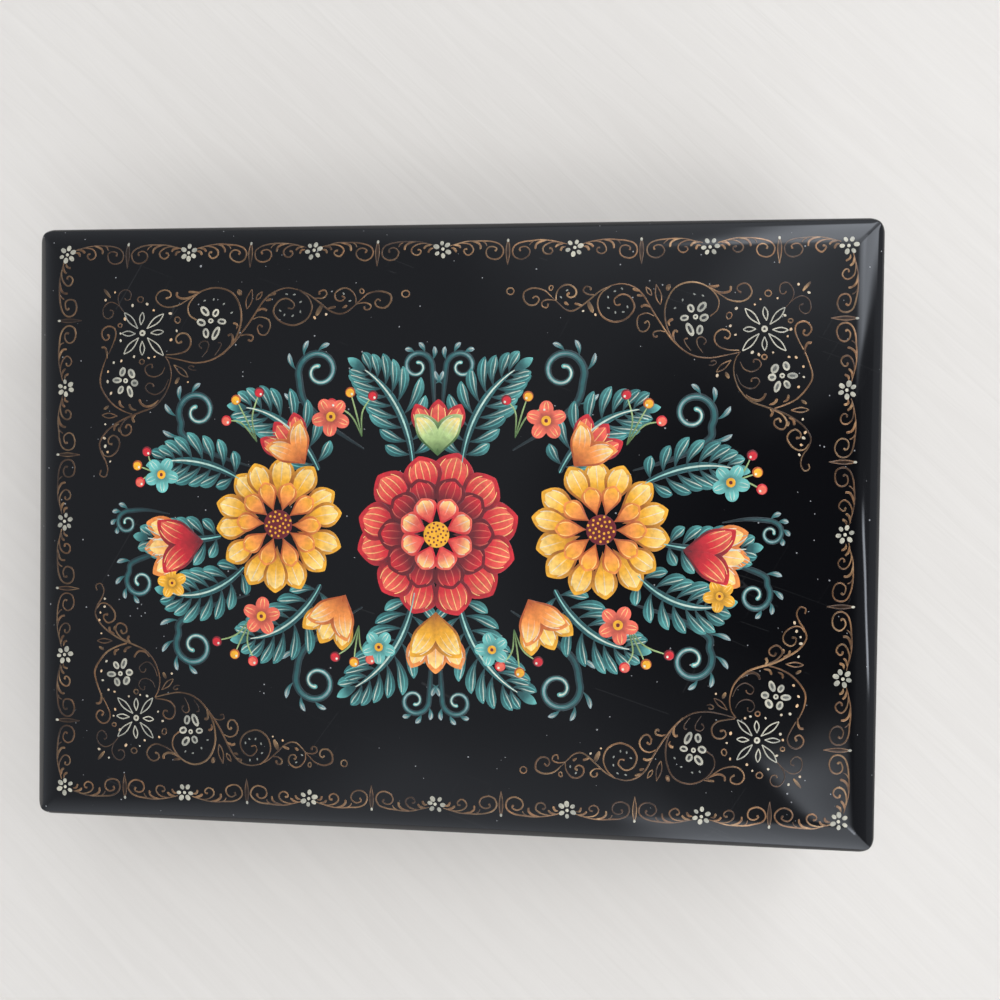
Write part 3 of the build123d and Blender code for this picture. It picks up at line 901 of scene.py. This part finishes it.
def corner_gold():
    """Gold strokes of one corner, in p and q."""
    strokes = []
    for number, vine in enumerate(VINES):
        strokes.append(gold_line(vine, GOLD_LINE * 1.1, 0.3, (0.6, 0.7), 0.3, 1.0 + number * 0.1))
    for number, scroll in enumerate(SCROLLS):
        strokes.append(gold_line(scroll, GOLD_LINE, 0.2, (0.6, 0.9), 0.8, 1.8 + number * 0.1))
    for number, scroll in enumerate(FAINT_SCROLLS):
        strokes.append(gold_line(scroll, FINE_LINE, 0.9, (0.6, 0.9), 0.8, 1.8 + number * 0.1))
    for number, hook in enumerate(HOOKS):
        strokes.append(gold_line(hook, HOOK_LINE, 0.15, (0.3, 0.8), 0.25, 2.8 + number * 0.05))
    for base, tip, belly in LEAF_LINES:
        strokes += leaf_line(base, tip, belly, FINE_LINE, gold_tone(), 1.5)
    for place, across, along, heading in LEAF_DABS:
        strokes.append(dot(place, across, [GOLD_DIM, GOLD_PALE], 1.5, along, heading))
    for place, across, along, heading in SMALL_RINGS:
        strokes.append(ring(place, across, FINE_LINE * 1.1, gold_tone(), 1.5, along, heading))
    return strokes


def corner_flower(middle, petals, hollow_tone):
    """A white middle and white petals, each with a darker dab inside."""
    strokes = [dot(middle, 0.85, PETAL_WHITE, 3.0), dot(middle, 0.34, PETAL_GREY * 0.1, 3.6)]
    for place, across, along, heading in petals:
        place = np.array(place) + shaky(0.05)
        strokes.append(dot(place, across, white_tone(), 3.0, along, heading, 8))
        strokes.append(dot(place, across * 0.42, hollow_tone, 3.6, along * 0.6, heading))
    return strokes


def corner_pale():
    """White strokes of one corner: the star, two flowers and the dots, in p and q."""
    strokes = [dot((0, 0.3), 1.05, PETAL_WHITE, 3.0), dot((0, 0.3), 0.4, GOLD_DIM * 0.2, 3.6)]
    for base, tip, belly in STAR_PETALS:
        strokes += leaf_line(base, np.array(tip) + shaky(0.08), belly, WHITE_LINE, white_tone(), 3.0)
    strokes += corner_flower(*RING_FLOWER, PETAL_GREY * 0.06)
    strokes += corner_flower(*FULL_FLOWER, PETAL_GREY * 0.45)
    for place in PALE_DOTS:
        size = chance.uniform(0.28, 0.45)
        tone = PETAL_WHITE + (GOLD_PALE - PETAL_WHITE) * chance.random()
        place = place + shaky(0.1)
        along = size * chance.uniform(1, 1.5)
        strokes.append(dot(place, size, tone, 2.5, along, chance.uniform(0, 180)))
    for place in SPIRAL_DOTS:
        strokes.append(dot(place + shaky(0.08), 0.26, PETAL_GREY, 2.5, 0.45, chance.uniform(0, 180)))
    return strokes


def in_corner(strokes, star, reach):
    """Puts strokes drawn in p and q round a star: from it towards the middle of the lid where p or q is
    positive, there longer by reach, and towards the lid's edges where it is negative."""
    return moved(strokes, lambda p: star - np.sign(star) * p * np.where(p > 0, reach, 1.0))


# Painted bouquet in the middle, a plain folk design of blossoms, feather leaves and scrolls.
# Half of it is listed; the other half is painted again, mirrored, with its own small differences.

# Tones of a petal: dark, middle, light, and its fine lines
RED_TONES = (RED_DARK, RED, SALMON, CREAM)
DEEP_RED_TONES = (RED_DARK * 0.7, RED_DARK, RED, SALMON)
PALE_RED_TONES = (RED, SALMON, CREAM, SNOW)
AMBER_TONES = (AMBER_DARK, AMBER, CREAM, SNOW)
DEEP_AMBER_TONES = (ORANGE_DARK, ORANGE, AMBER, CREAM)
ORANGE_TONES = (ORANGE_DARK, ORANGE, CREAM, SNOW)
GREEN_TONES = (LEAF_DARK, LEAF_PALE * 0.8, CREAM, SNOW)

# Blossoms: centre, rings of petals and seed head. A ring has its inner and outer radius, number of
# petals, their width and tones, level, heading of the first petal, and fine lines on each petal. A seed
# head has its radius, tone, seeds' tone and level.
RED_BLOSSOM = ((0.0, 0.6), [
    (4.5, 13.2, 12, 6.6, RED_TONES, 3.0, 15, 5),
    (2.6, 9.4, 10, 5.2, DEEP_RED_TONES, 8.0, 0, 4),
    (1.6, 6.2, 8, 3.8, PALE_RED_TONES, 13.0, 22, 3),
], (2.1, AMBER, RED_DARK, 18.0))
AMBER_BLOSSOM = ((26.2, -0.6), [
    (3.4, 11.0, 14, 4.2, AMBER_TONES, 3.0, 8, 3),
    (2.2, 7.2, 10, 3.2, DEEP_AMBER_TONES, 8.0, 0, 2),
], (2.4, RED_DARK, AMBER, 13.0))

# Feather leaves: start, heading, turn, first and last radius of the spine, commas, reach
FEATHERS = [
    ((3.5, 10.0), 82, -52, 26, 16, 9, 5.6),
    ((19.0, 9.0), 64, -58, 20, 11, 8, 5.4),
    ((32.0, 6.5), 48, -62, 17, 9, 8, 4.8),
    ((36.0, 1.5), 12, -20, 44, 30, 8, 4.2),
    ((33.0, -8.0), -30, 42, 24, 14, 8, 4.6),
    ((19.5, -9.5), -66, 60, 21, 11, 8, 5.2),
    ((4.0, -11.0), -84, 50, 25, 15, 9, 5.4),
]
COMMA_WIDTH = 1.75
COMMA_BEND = 46
COMMA_BELLY = 0.68

# Scrolls: tail, centre and radius of the coil, the angle where the tail meets it, turns
SCROLL_LIST = [
    ([(12.0, 12.5), (17.5, 16.0), (22.0, 20.0)], (19.8, 25.0), 3.5, -20, 1.35),
    ([(31.0, 11.0), (37.5, 13.0), (43.0, 15.8)], (40.6, 19.8), 3.4, -35, 1.35),
    ([(41.0, 4.0), (47.0, 4.6), (51.6, 6.2)], (50.2, 9.4), 2.6, -40, 1.3),
    ([(31.0, -10.0), (37.5, -12.0), (42.8, -15.0)], (40.4, -19.0), 3.4, 35, -1.35),
    ([(12.0, -13.0), (17.5, -16.5), (22.0, -20.5)], (19.8, -25.6), 3.5, 20, -1.35),
    ([(0.5, -17.0), (0.7, -20.5), (0.9, -23.4)], (3.6, -26.4), 2.5, 180, 1.3),
    ([(0.5, 17.0), (0.7, 21.0), (0.9, 24.6)], (3.5, 27.6), 2.4, 180, -1.3),
    ([(45.0, -2.0), (49.0, -2.6), (52.4, -2.4)], (52.6, -0.4), 1.9, -80, 1.3),
]

# Side buds: place, heading, length, tones of the front petals and of those behind
TULIPS = [
    ((39.0, 2.4), 8, 11.0, RED_TONES, ORANGE_TONES),
    ((14.8, 10.6), 62, 9.5, ORANGE_TONES, AMBER_TONES),
    ((21.8, -10.5), -52, 9.0, ORANGE_TONES, RED_TONES),
]
TOP_TULIP = ((0, 13.0), 90, 10.5, AMBER_TONES, ORANGE_TONES)
LOW_TULIP = ((0, -12.0), -90, 9.5, GREEN_TONES, RED_TONES)

# Sprays of three berries: where the stems start, heading, reach
SPRAYS = [
    ((30.0, -14.0), -64, 7.4),
    ((30.5, 14.5), 62, 7.6),
    ((12.4, -15.0), -76, 7.0),
    ((12.6, 15.5), 80, 6.6),
    ((45.5, -8.0), -22, 5.6),
]
# Small flowers: place, radius, tones
SMALL_FLOWERS = [
    ((17.6, -18.0), 3.2, (SALMON, CREAM)),
    ((29.0, 14.4), 3.2, (SALMON, CREAM)),
    ((46.6, -8.4), 3.0, (TURQUOISE, SNOW)),
    ((9.4, 18.8), 2.8, (TURQUOISE, SNOW)),
    ((44.6, 9.4), 2.6, (AMBER, CREAM)),
]


def feather(start, heading, turn, first_radius, last_radius, commas, reach):
    """Leaf of commas on both sides of a curved spine, dark at the spine and pale at their tips, each with
    two light lines. The commas are longest past the middle and lean less towards the leaf's tip."""
    spine = curl_path(start, heading, turn, first_radius, last_radius)
    ahead = np.degrees(np.unwrap(np.arctan2(*np.gradient(spine, axis=0).T[::-1])))
    strokes = [stroke(spine, 1.3, [TEAL_DARK, TEAL], 1.0, (0.6, 0.2))]
    for side in (1, -1):
        bend = -side * COMMA_BEND
        for number in range(commas):
            part = (number + 0.6) / (commas + 0.3)
            at = int(part * (len(spine) - 1))
            size = reach * (0.6 + 0.65 * np.sin(np.pi * part ** 0.75)) * chance.uniform(0.92, 1.08)
            comma_heading = ahead[at] + side * (62 - 34 * part + chance.normal(0, 2))
            level = 1.2 + 0.12 * number + 0.06 * (side > 0)
            pale = TEAL + (TURQUOISE - TEAL) * chance.uniform(0.0, 0.6)
            strokes.append(petal(spine[at], comma_heading, size, COMMA_WIDTH, [TEAL_DARK, TEAL * 0.55, pale],
                                 level, bend, COMMA_BELLY, 16))
            for across, tone in ((side * 0.25, TURQUOISE), (-side * 0.45, SNOW)):
                strokes.append(petal_line(spine[at], comma_heading, size, COMMA_WIDTH, across, [TEAL, tone],
                                          0.19, level + 1.6, bend, COMMA_BELLY, (0.25, 0.93)))
    tip_tones = [TEAL_DARK, TEAL * 0.7, TURQUOISE]
    strokes.append(petal(spine[-4], ahead[-1], reach * 0.75, 1.6, tip_tones, 2.6, 0, 0.6, 16))
    strokes.append(stroke(spine, 0.3, [TURQUOISE, SNOW], 4.6, (0.5, 0.4)))
    return strokes


def painted_petal(base, heading, length, width, tones, level, lines, bend, belly=0.66):
    """Dark petal, a lighter one inside it and fine light lines that fan along it. Tones: dark, middle,
    light and the lines' own."""
    dark, middle, light, fine = tones
    base = np.asarray(base, float)
    inner_base = base + toward(heading) * length * 0.08
    strokes = [petal(base, heading, length, width, [dark, dark, middle], level, bend, belly, 19),
               petal(inner_base, heading, length * 0.84, width * 0.76, [dark, middle, light], level + 0.9,
                     bend, belly, 19)]
    for across in np.linspace(-0.68, 0.68, lines):
        reach = (0.36 + 0.2 * abs(across), 0.9 - 0.08 * abs(across))
        strokes.append(petal_line(base, heading, length, width, across, [middle, fine], 0.17, level + 1.8,
                                  bend, belly, reach))
    return strokes


def petal_ring(centre, inner, outer, count, width, tones, level, turn, lines):
    """A ring of petals from radius inner to outer, every second one above its neighbours."""
    strokes = []
    for number in range(count):
        heading = turn + 360 * number / count + chance.normal(0, 1.6)
        raised = level + 2.2 * (number % 2) + 0.02 * number
        length = (outer - inner) * chance.uniform(0.95, 1.04)
        petal_width = width * chance.uniform(0.95, 1.05)
        strokes += painted_petal(centre + toward(heading) * inner, heading, length, petal_width, tones,
                                 raised, lines, chance.normal(0, 6))
    return strokes


def seed_head(centre, radius, tone, seed_tone, level):
    """Round middle with seeds on sunflower spirals: the nth seed at an angle of n times 137.5 degrees and
    a radius that grows with the square root of n."""
    strokes = [dot(centre, radius * 2, tone, level, count=10)]
    number = np.arange(1, 26)
    angle = np.radians(137.5) * number
    away = radius * 0.92 * np.sqrt(number / 26)
    for x, y in zip(centre[0] + away * np.cos(angle), centre[1] + away * np.sin(angle)):
        strokes.append(dot((x, y), radius * 0.17, seed_tone, level + 1.0))
    return strokes


def blossom(centre, rings, seeds):
    """Rings of petals, each higher and nearer the middle than the last, round a seed head."""
    strokes = []
    for entry in rings:
        strokes += petal_ring(np.array(centre), *entry)
    return strokes + seed_head(centre, *seeds)


def tulip(place, heading, length, tones, back_tones):
    """Cup seen from the side: three petals behind and two in front that curl apart."""
    strokes = []
    for lean in (-24, 24, 0):
        strokes += painted_petal(place, heading + lean, length * 0.96, length * 0.36, back_tones,
                                 3.0 + abs(lean) * 0.01, 3, 0, 0.7)
    for side in (1, -1):
        strokes += painted_petal(place, heading + side * 30, length * 0.82, length * 0.42, tones,
                                 5.6 + side * 0.1, 4, side * 44, 0.55)
    return strokes


def small_flower(place, radius, tones):
    """Five round petals, two light lines on each, and an amber middle."""
    strokes = []
    turn = chance.uniform(0, 72)
    for number in range(5):
        heading = turn + 72 * number
        middle = place + toward(heading) * radius * 0.58
        strokes.append(dot(middle, radius * 0.72, [tones[0] * 0.35, tones[0], tones[0]],
                           4.6 + 0.05 * number, radius * 0.86, heading, 9))
        for across in (-0.3, 0.3):
            strokes.append(petal_line(place, heading, radius, radius * 0.7, across, tones, 0.16, 5.6))
    strokes.append(dot(place, radius * 0.5, AMBER, 6.2, count=8))
    strokes.append(dot(place, radius * 0.2, RED_DARK, 6.8))
    return strokes


def berry(place, tone, dark):
    """Dark dab, a paler one on it a little off its middle, and a small light."""
    place = np.asarray(place) + shaky(0.1)
    return [dot(place, 1.7, dark, 4.4, count=10), dot(place + (0.06, 0.08), 1.35, tone, 5.0, count=10),
            dot(place + (-0.25, 0.3), 0.4, SNOW, 5.6)]


def spray(base, heading, reach):
    """Three berries on thin stems that spread from one point."""
    strokes = []
    berry_tones = [(RED, RED_DARK), (AMBER, ORANGE_DARK), (SALMON, RED)]
    for lean, tones in zip((-27, 2, 30), berry_tones):
        tip = base + reach * chance.uniform(0.85, 1.1) * toward(heading + lean)
        middle = base + reach * 0.55 * toward(heading + 0.5 * lean)
        stem_tones = [LEAF_DARK, LEAF_PALE * 0.7]
        strokes.append(line([base, middle, tip], 0.26, stem_tones, 4.0, (0.5, 0.6)))
        strokes += berry(tip, *tones)
    return strokes


def scroll(tail, centre, radius, angle, turns):
    """Teal scroll: a tail that runs into a coil whose radius shrinks evenly to a fifth. Commas leave the
    tail on its outer side, and pale lines lie on it."""
    part = np.linspace(0, 1, 22)
    bearing = np.radians(angle + 360 * turns * part)
    away = radius * (1 - 0.8 * part)[:, None]
    coil = np.asarray(centre) + away * np.stack([np.cos(bearing), np.sin(bearing)], 1)
    path = smooth_path(np.vstack([tail, coil]), 5)
    width = 0.16 * radius + 0.2
    edge_tones = [TEAL_DARK * 0.3, TEAL_DARK, TEAL_DARK * 0.6]
    body_tones = [TEAL_DARK, TEAL * 0.8, TURQUOISE * 0.8]
    light_tones = [SLATE_PALE * 0.6, SLATE_PALE, SNOW]
    strokes = [stroke(path, width * 1.6, edge_tones, 0.1, (0.2, 0.6), 0.2),
               stroke(path[4:], width * 0.8, body_tones, 0.5, (0.2, 0.7), 0.6),
               stroke(path[26:-4], width * 0.3, light_tones, 0.9, (0.2, 0.9), 0.6)]
    side = -np.sign(turns)
    bend = -side * 60
    for number in range(4):
        at = 10 + 9 * number
        ahead = path[at + 1] - path[at]
        heading = np.degrees(np.arctan2(ahead[1], ahead[0])) + side * 38
        size = radius * (1.15 - 0.12 * number)
        comma_tones = [SLATE * 0.2, TEAL, SLATE_PALE]
        strokes.append(petal(path[at], heading, size, 0.8, comma_tones, 0.3 + 0.03 * number, bend, 0.7))
        strokes.append(petal_line(path[at], heading, size, 0.8, side * 0.3, [SLATE, SNOW], 0.15, 0.95,
                                  bend, 0.7))
    return strokes


def paint_half():
    """Strokes of one half, by group: feather leaves, scrolls, blossom, buds, and flowers with sprays."""
    leaves = sum((feather(*entry) for entry in FEATHERS), [])
    scrolls = sum((scroll(*entry) for entry in SCROLL_LIST), [])
    petals = blossom(*AMBER_BLOSSOM)
    buds = sum((tulip(*entry) for entry in TULIPS), [])
    flowers = []
    for place, radius, tones in SMALL_FLOWERS:
        flowers += small_flower(np.array(place) + shaky(0.15), radius, tones)
    sprays = sum((spray(*entry) for entry in SPRAYS), [])
    return leaves, scrolls, petals, buds, flowers + sprays


def paint_bouquet(paint):
    """The leaves of each half, the other groups of both halves, and what stands in the middle, one piece
    each."""
    right = paint_half()
    left = [moved(group, lambda p: p * np.array([-1.0, 1.0])) for group in paint_half()]
    paint_piece("right_feather_leaves", right[0], paint)
    paint_piece("left_feather_leaves", left[0], paint)
    names = ("slate_scrolls", "amber_blossoms", "side_tulips", "berries_and_sprays")
    for name, one, other in zip(names, right[1:], left[1:]):
        paint_piece(name, one + other, paint)
    paint_piece("middle_tulips", tulip(*TOP_TULIP) + tulip(*LOW_TULIP), paint)
    paint_piece("red_blossom", blossom(*RED_BLOSSOM), paint)


# Box

def build_lid_shell(black, red):
    """The pillow-topped board as one closed shell: the top grid, an edge that turns down on an arc from
    the roll's own slope to upright, the side down to the seat, the seat's underside, the step and the
    hollow. All rings share one order of points."""
    inset = EDGE_RADIUS * (1 - np.sin(EDGE_SLOPE))
    x, y = rounded_grid(LID_HALF_X - inset, LID_HALF_Y - inset, CORNER_RADIUS - inset)
    top = np.stack([x, y, lid_top(x, y)], -1)
    x, y = rounded_grid(HOLLOW_HALF_X, HOLLOW_HALF_Y, HOLLOW_RADIUS)
    under = np.stack([x, y, lid_under(x, y)], -1)
    side = rim_of(np.stack(rounded_grid(LID_HALF_X, LID_HALF_Y, CORNER_RADIUS), -1))
    top_rim, under_rim = rim_of(top), rim_of(under)
    rings = []
    for angle in np.linspace(EDGE_SLOPE, np.pi / 2, EDGE_STEPS + 1)[1:]:
        out = (np.sin(angle) - np.sin(EDGE_SLOPE)) * EDGE_RADIUS / inset
        drop = (np.cos(EDGE_SLOPE) - np.cos(angle)) * EDGE_RADIUS
        rings.append(np.column_stack([top_rim[:, :2] + (side - top_rim[:, :2]) * out, top_rim[:, 2] - drop]))
    for outline, height in ((side, SEAT_Z + SIDE_FOOT), (side, SEAT_Z), (under_rim[:, :2], SEAT_Z)):
        rings.append(np.column_stack([outline, np.full(len(side), height)]))
    points = np.vstack([top.reshape(-1, 3)] + rings + [under.reshape(-1, 3)])
    top_index = np.arange(x.size).reshape(x.shape)
    ring_start = x.size
    count = len(side)
    under_index = ring_start + len(rings) * count + top_index
    chain = [rim_of(top_index)] + [ring_start + count * k + np.arange(count) for k in range(len(rings))]
    outside = [grid_faces(top_index)] + [band_faces(a, b) for a, b in zip(chain[:-1], chain[1:])]
    inside = [band_faces(chain[-1], rim_of(under_index)), grid_faces(under_index)[:, ::-1]]
    outside, inside = np.vstack(outside), np.vstack(inside)
    piece = make_mesh("lid_shell", points, np.vstack([outside, inside]))
    piece.data.materials.append(black)
    piece.data.materials.append(red)
    side_of_face = np.concatenate([np.zeros(len(outside)), np.ones(len(inside))]).astype(np.int32)
    piece.data.polygons.foreach_set("material_index", side_of_face)
    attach(piece, "lid")
    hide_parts("lid_panel")


def finish_nodes(black, red, brass, finish):
    """Better materials for the CAD nodes that stay."""
    in_rim = red_within(HOLLOW_HALF_X + RIM_MASK_MARGIN, HOLLOW_HALF_Y + RIM_MASK_MARGIN)
    in_wall = red_within(INNER_HALF_X + WALL_MASK_MARGIN, INNER_HALF_Y + WALL_MASK_MARGIN)
    on_bottom = red_above(BOTTOM_TOP_Z - BOTTOM_MASK_MARGIN)
    own = {"lid_rim": two_colour_material("rim_lacquer", in_rim, finish),
           "bottom_panel": two_colour_material("bottom_lacquer", on_bottom, finish),
           "body_wall": two_colour_material("wall_lacquer", in_wall, finish),
           "inner_collar": red, "lid_panel": black}
    for name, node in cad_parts.items():
        node.data.materials.clear()
        node.data.materials.append(own.get(name, brass))


# Stage

FLOOR_HALF = 40000.0
BRUSH_HEADING = 0.75


def build_floor():
    """Pale painted table with faint slanting brush marks."""
    corners = FLOOR_HALF * np.array([(-1, -1, 0), (1, -1, 0), (1, 1, 0), (-1, 1, 0)])
    floor = make_mesh("floor", corners, np.array([[0, 1, 2, 3]]))
    material, tree, shader = new_material("pale_table")
    marks_along = stretched(tree, object_place(tree), (30.0, 420.0, 1.0), BRUSH_HEADING)
    brushed = remap(tree, noise(tree, marks_along, 1.0, 4.0, 0.6), 0.35, 0.7, 0.0, 1.0)
    feed(tree, shader.inputs["Base Color"], mix(tree, brushed, TABLE_DARK, TABLE_PALE))
    shader.inputs["Roughness"].default_value = 0.6
    bump(tree, shader, brushed, 0.00003)
    floor.data.materials.append(material)


# The room's level at the horizon and from ROOM_TOP of the view direction's Z up, and its daylight tint
ROOM_LOW = 0.40
ROOM_HIGH = 0.33
ROOM_TOP = 0.8
DAYLIGHT = (0.93, 0.99, 1.09, 1)
# A dark patch of ceiling round one direction, by the cosine of the angle to it: its edge and its core
DARK_PATCH = (-0.35, 0.07, 0.934)
DARK_EDGE = 0.90
DARK_CORE = 0.99
DARK_LEVEL = 0.15
# Windows by angle in radians round from -X towards -Y (negative towards +Y): start, stop, how soft each
# end is, lowest and highest Z of the view direction, how soft the upper edge is, how much the window
# leans, strength. The last one is a dark wall.
WINDOW_SILL = 0.05
WINDOWS = [
    (0.245, 0.46, 0.06, 0.20, 0.24, 0.82, 0.09, 0.0, 3.3),
    (0.66, 1.05, 0.20, 0.20, 0.24, 0.82, 0.09, 0.0, 0.9),
    (1.25, 1.34, 0.20, 0.12, 0.22, 0.80, 0.09, 0.0, 3.3),
    (0.38, 0.86, 0.13, 0.42, 0.70, 0.93, 0.04, 0.0, 0.95),
    (1.10, 1.55, 0.40, 0.40, 0.05, 0.88, 0.09, 0.0, 0.4),
    (-1.46, -0.75, 0.10, 0.25, 0.02, 0.81, 0.09, 0.0, 1.35),
    (-0.99, -0.86, 0.04, 0.40, 0.70, 0.909, 0.015, 0.0, 4.0),
    (-1.95, -1.40, 0.30, 0.10, 0.02, 0.84, 0.09, 0.0, 0.3),
    (-0.17, -0.05, 0.03, 0.03, 0.61, 0.64, 0.06, 2.1, 6.5),
    (-0.60, 0.12, 0.20, 0.10, 0.30, 0.90, 0.09, 0.0, -0.15),
]


def smooth(tree, value, low, high, to_low, to_high):
    """As remap, but flat at both ends of the way."""
    result = remap(tree, value, low, high, to_low, to_high)
    result.node.interpolation_type = "SMOOTHSTEP"
    return result


def fade(tree, value, start, stop, soft_start, soft_stop):
    """1 between start and stop, falling smoothly to 0 within the soft widths outside them."""
    rise = smooth(tree, value, start - soft_start, start, 0.0, 1.0)
    fall = smooth(tree, value, stop, stop + soft_stop, 1.0, 0.0)
    return calc(tree, "MULTIPLY", rise, fall)


def build_world():
    """Soft grey room, a little paler towards the horizon and dark in one patch of the ceiling. Windows
    on three sides each add their strength within their soft outline."""
    world = bpy.data.worlds.new("soft_room")
    bpy.context.scene.world = world
    world.use_nodes = True
    tree = world.node_tree
    way = tree.nodes.new("ShaderNodeTexCoord").outputs["Generated"]
    axes = tree.nodes.new("ShaderNodeSeparateXYZ")
    feed(tree, axes.inputs[0], way)
    x, y, z = axes.outputs
    bearing = calc(tree, "ARCTAN2", calc(tree, "MULTIPLY", y, -1.0), calc(tree, "MULTIPLY", x, -1.0))
    level = remap(tree, z, 0.0, ROOM_TOP, ROOM_LOW, ROOM_HIGH)
    for start, stop, soft_start, soft_stop, low, high, soft_top, lean, strength in WINDOWS:
        across = fade(tree, bearing, start, stop, soft_start, soft_stop)
        height = calc(tree, "MULTIPLY_ADD", bearing, -lean, z)
        upright = fade(tree, height, low, high, WINDOW_SILL, soft_top)
        level = calc(tree, "MULTIPLY_ADD", calc(tree, "MULTIPLY", across, upright), strength, level)
    towards_patch = tree.nodes.new("ShaderNodeVectorMath")
    towards_patch.operation = "DOT_PRODUCT"
    feed(tree, towards_patch.inputs[0], way)
    feed(tree, towards_patch.inputs[1], DARK_PATCH)
    shade = remap(tree, towards_patch.outputs["Value"], DARK_EDGE, DARK_CORE, 1.0, DARK_LEVEL)
    tinted = mix(tree, 1.0, DAYLIGHT, calc(tree, "MULTIPLY", level, shade), "MULTIPLY")
    feed(tree, tree.nodes["Background"].inputs["Color"], tinted)


def facing(place, aim, upwards, roll=0.0):
    """Matrix of a lamp or camera at place that looks at aim with upwards in its up direction, then turns
    anticlockwise by roll degrees, as seen through it. Its columns are its axes and its place."""
    place, aim = np.array(place, float), np.array(aim, float)
    back = (place - aim) / np.linalg.norm(place - aim)
    right = np.cross(upwards, back)
    right = right / np.linalg.norm(right)
    up = np.cross(back, right)
    cos, sin = np.cos(np.radians(roll)), np.sin(np.radians(roll))
    columns = np.column_stack([right * cos + up * sin, up * cos - right * sin, back, place * MM])
    return Matrix(np.vstack([columns, (0, 0, 0, 1)]).tolist())


def add_softbox(name, place, aim, side, power):
    """Square area light that lights the paint and the floor but isn't seen in the gloss."""
    data = bpy.data.lights.new(name, "AREA")
    data.shape = "SQUARE"
    data.size = side * MM
    data.energy = power
    lamp = bpy.data.objects.new(name, data)
    lamp.matrix_world = facing(place, aim, (0, 0, 1))
    lamp.visible_glossy = False
    bpy.context.scene.collection.objects.link(lamp)


# The photograph is taken from almost straight above, with its right side on -X and its top on -Y. The
# aim is on the floor, and the lens is as long as the picture is wide.
CAMERA_PLACE = (-26.37, -7.74, 200.46)
CAMERA_AIM = (-5.79, -4.38, 0.0)
CAMERA_UPWARDS = (0, -1, 0)
CAMERA_ROLL = 0.694
LENS = 36.0


def build_camera():
    """Camera with a short clip distance, because it stands close above the lid."""
    data = bpy.data.cameras.new("photo_camera")
    data.lens = LENS
    data.sensor_width = LENS
    data.clip_start = 5 * MM
    camera = bpy.data.objects.new("photo_camera", data)
    bpy.context.scene.collection.objects.link(camera)
    camera.matrix_world = facing(CAMERA_PLACE, CAMERA_AIM, CAMERA_UPWARDS, CAMERA_ROLL)
    bpy.context.scene.camera = camera


def main():
    """Box, paint on the lid, then the stage."""
    finish = lacquer_group(dust_group(), scratch_group())
    black = black_lacquer_material(finish)
    red = red_lacquer_material(finish)
    finish_nodes(black, red, brass_material(), finish)
    build_lid_shell(black, red)

    gold = paint_material("gold_paint", metallic=0.85, roughness=0.42, patch_scale=330.0, faint=0.45,
                          full=1.12)
    paint = paint_material("brush_paint", metallic=0.0, roughness=0.5, patch_scale=160.0, faint=0.84,
                           full=1.04)
    scrolls, flowers = draw_border()
    paint_piece("border_scrolls", scrolls, gold)
    paint_piece("border_flowers", flowers, paint)
    for name, star, reach in CORNERS:
        paint_piece(name + "_corner_scrolls", in_corner(corner_gold(), star, reach), gold)
        paint_piece(name + "_corner_flowers", in_corner(corner_pale(), star, reach), paint)
    paint_bouquet(paint)

    build_floor()
    build_world()
    add_softbox("fill", place=(-200, 0, 900), aim=(0, 0, 30), side=1100, power=7.5)
    build_camera()
    bpy.context.scene.view_settings.view_transform = "Standard"


main()
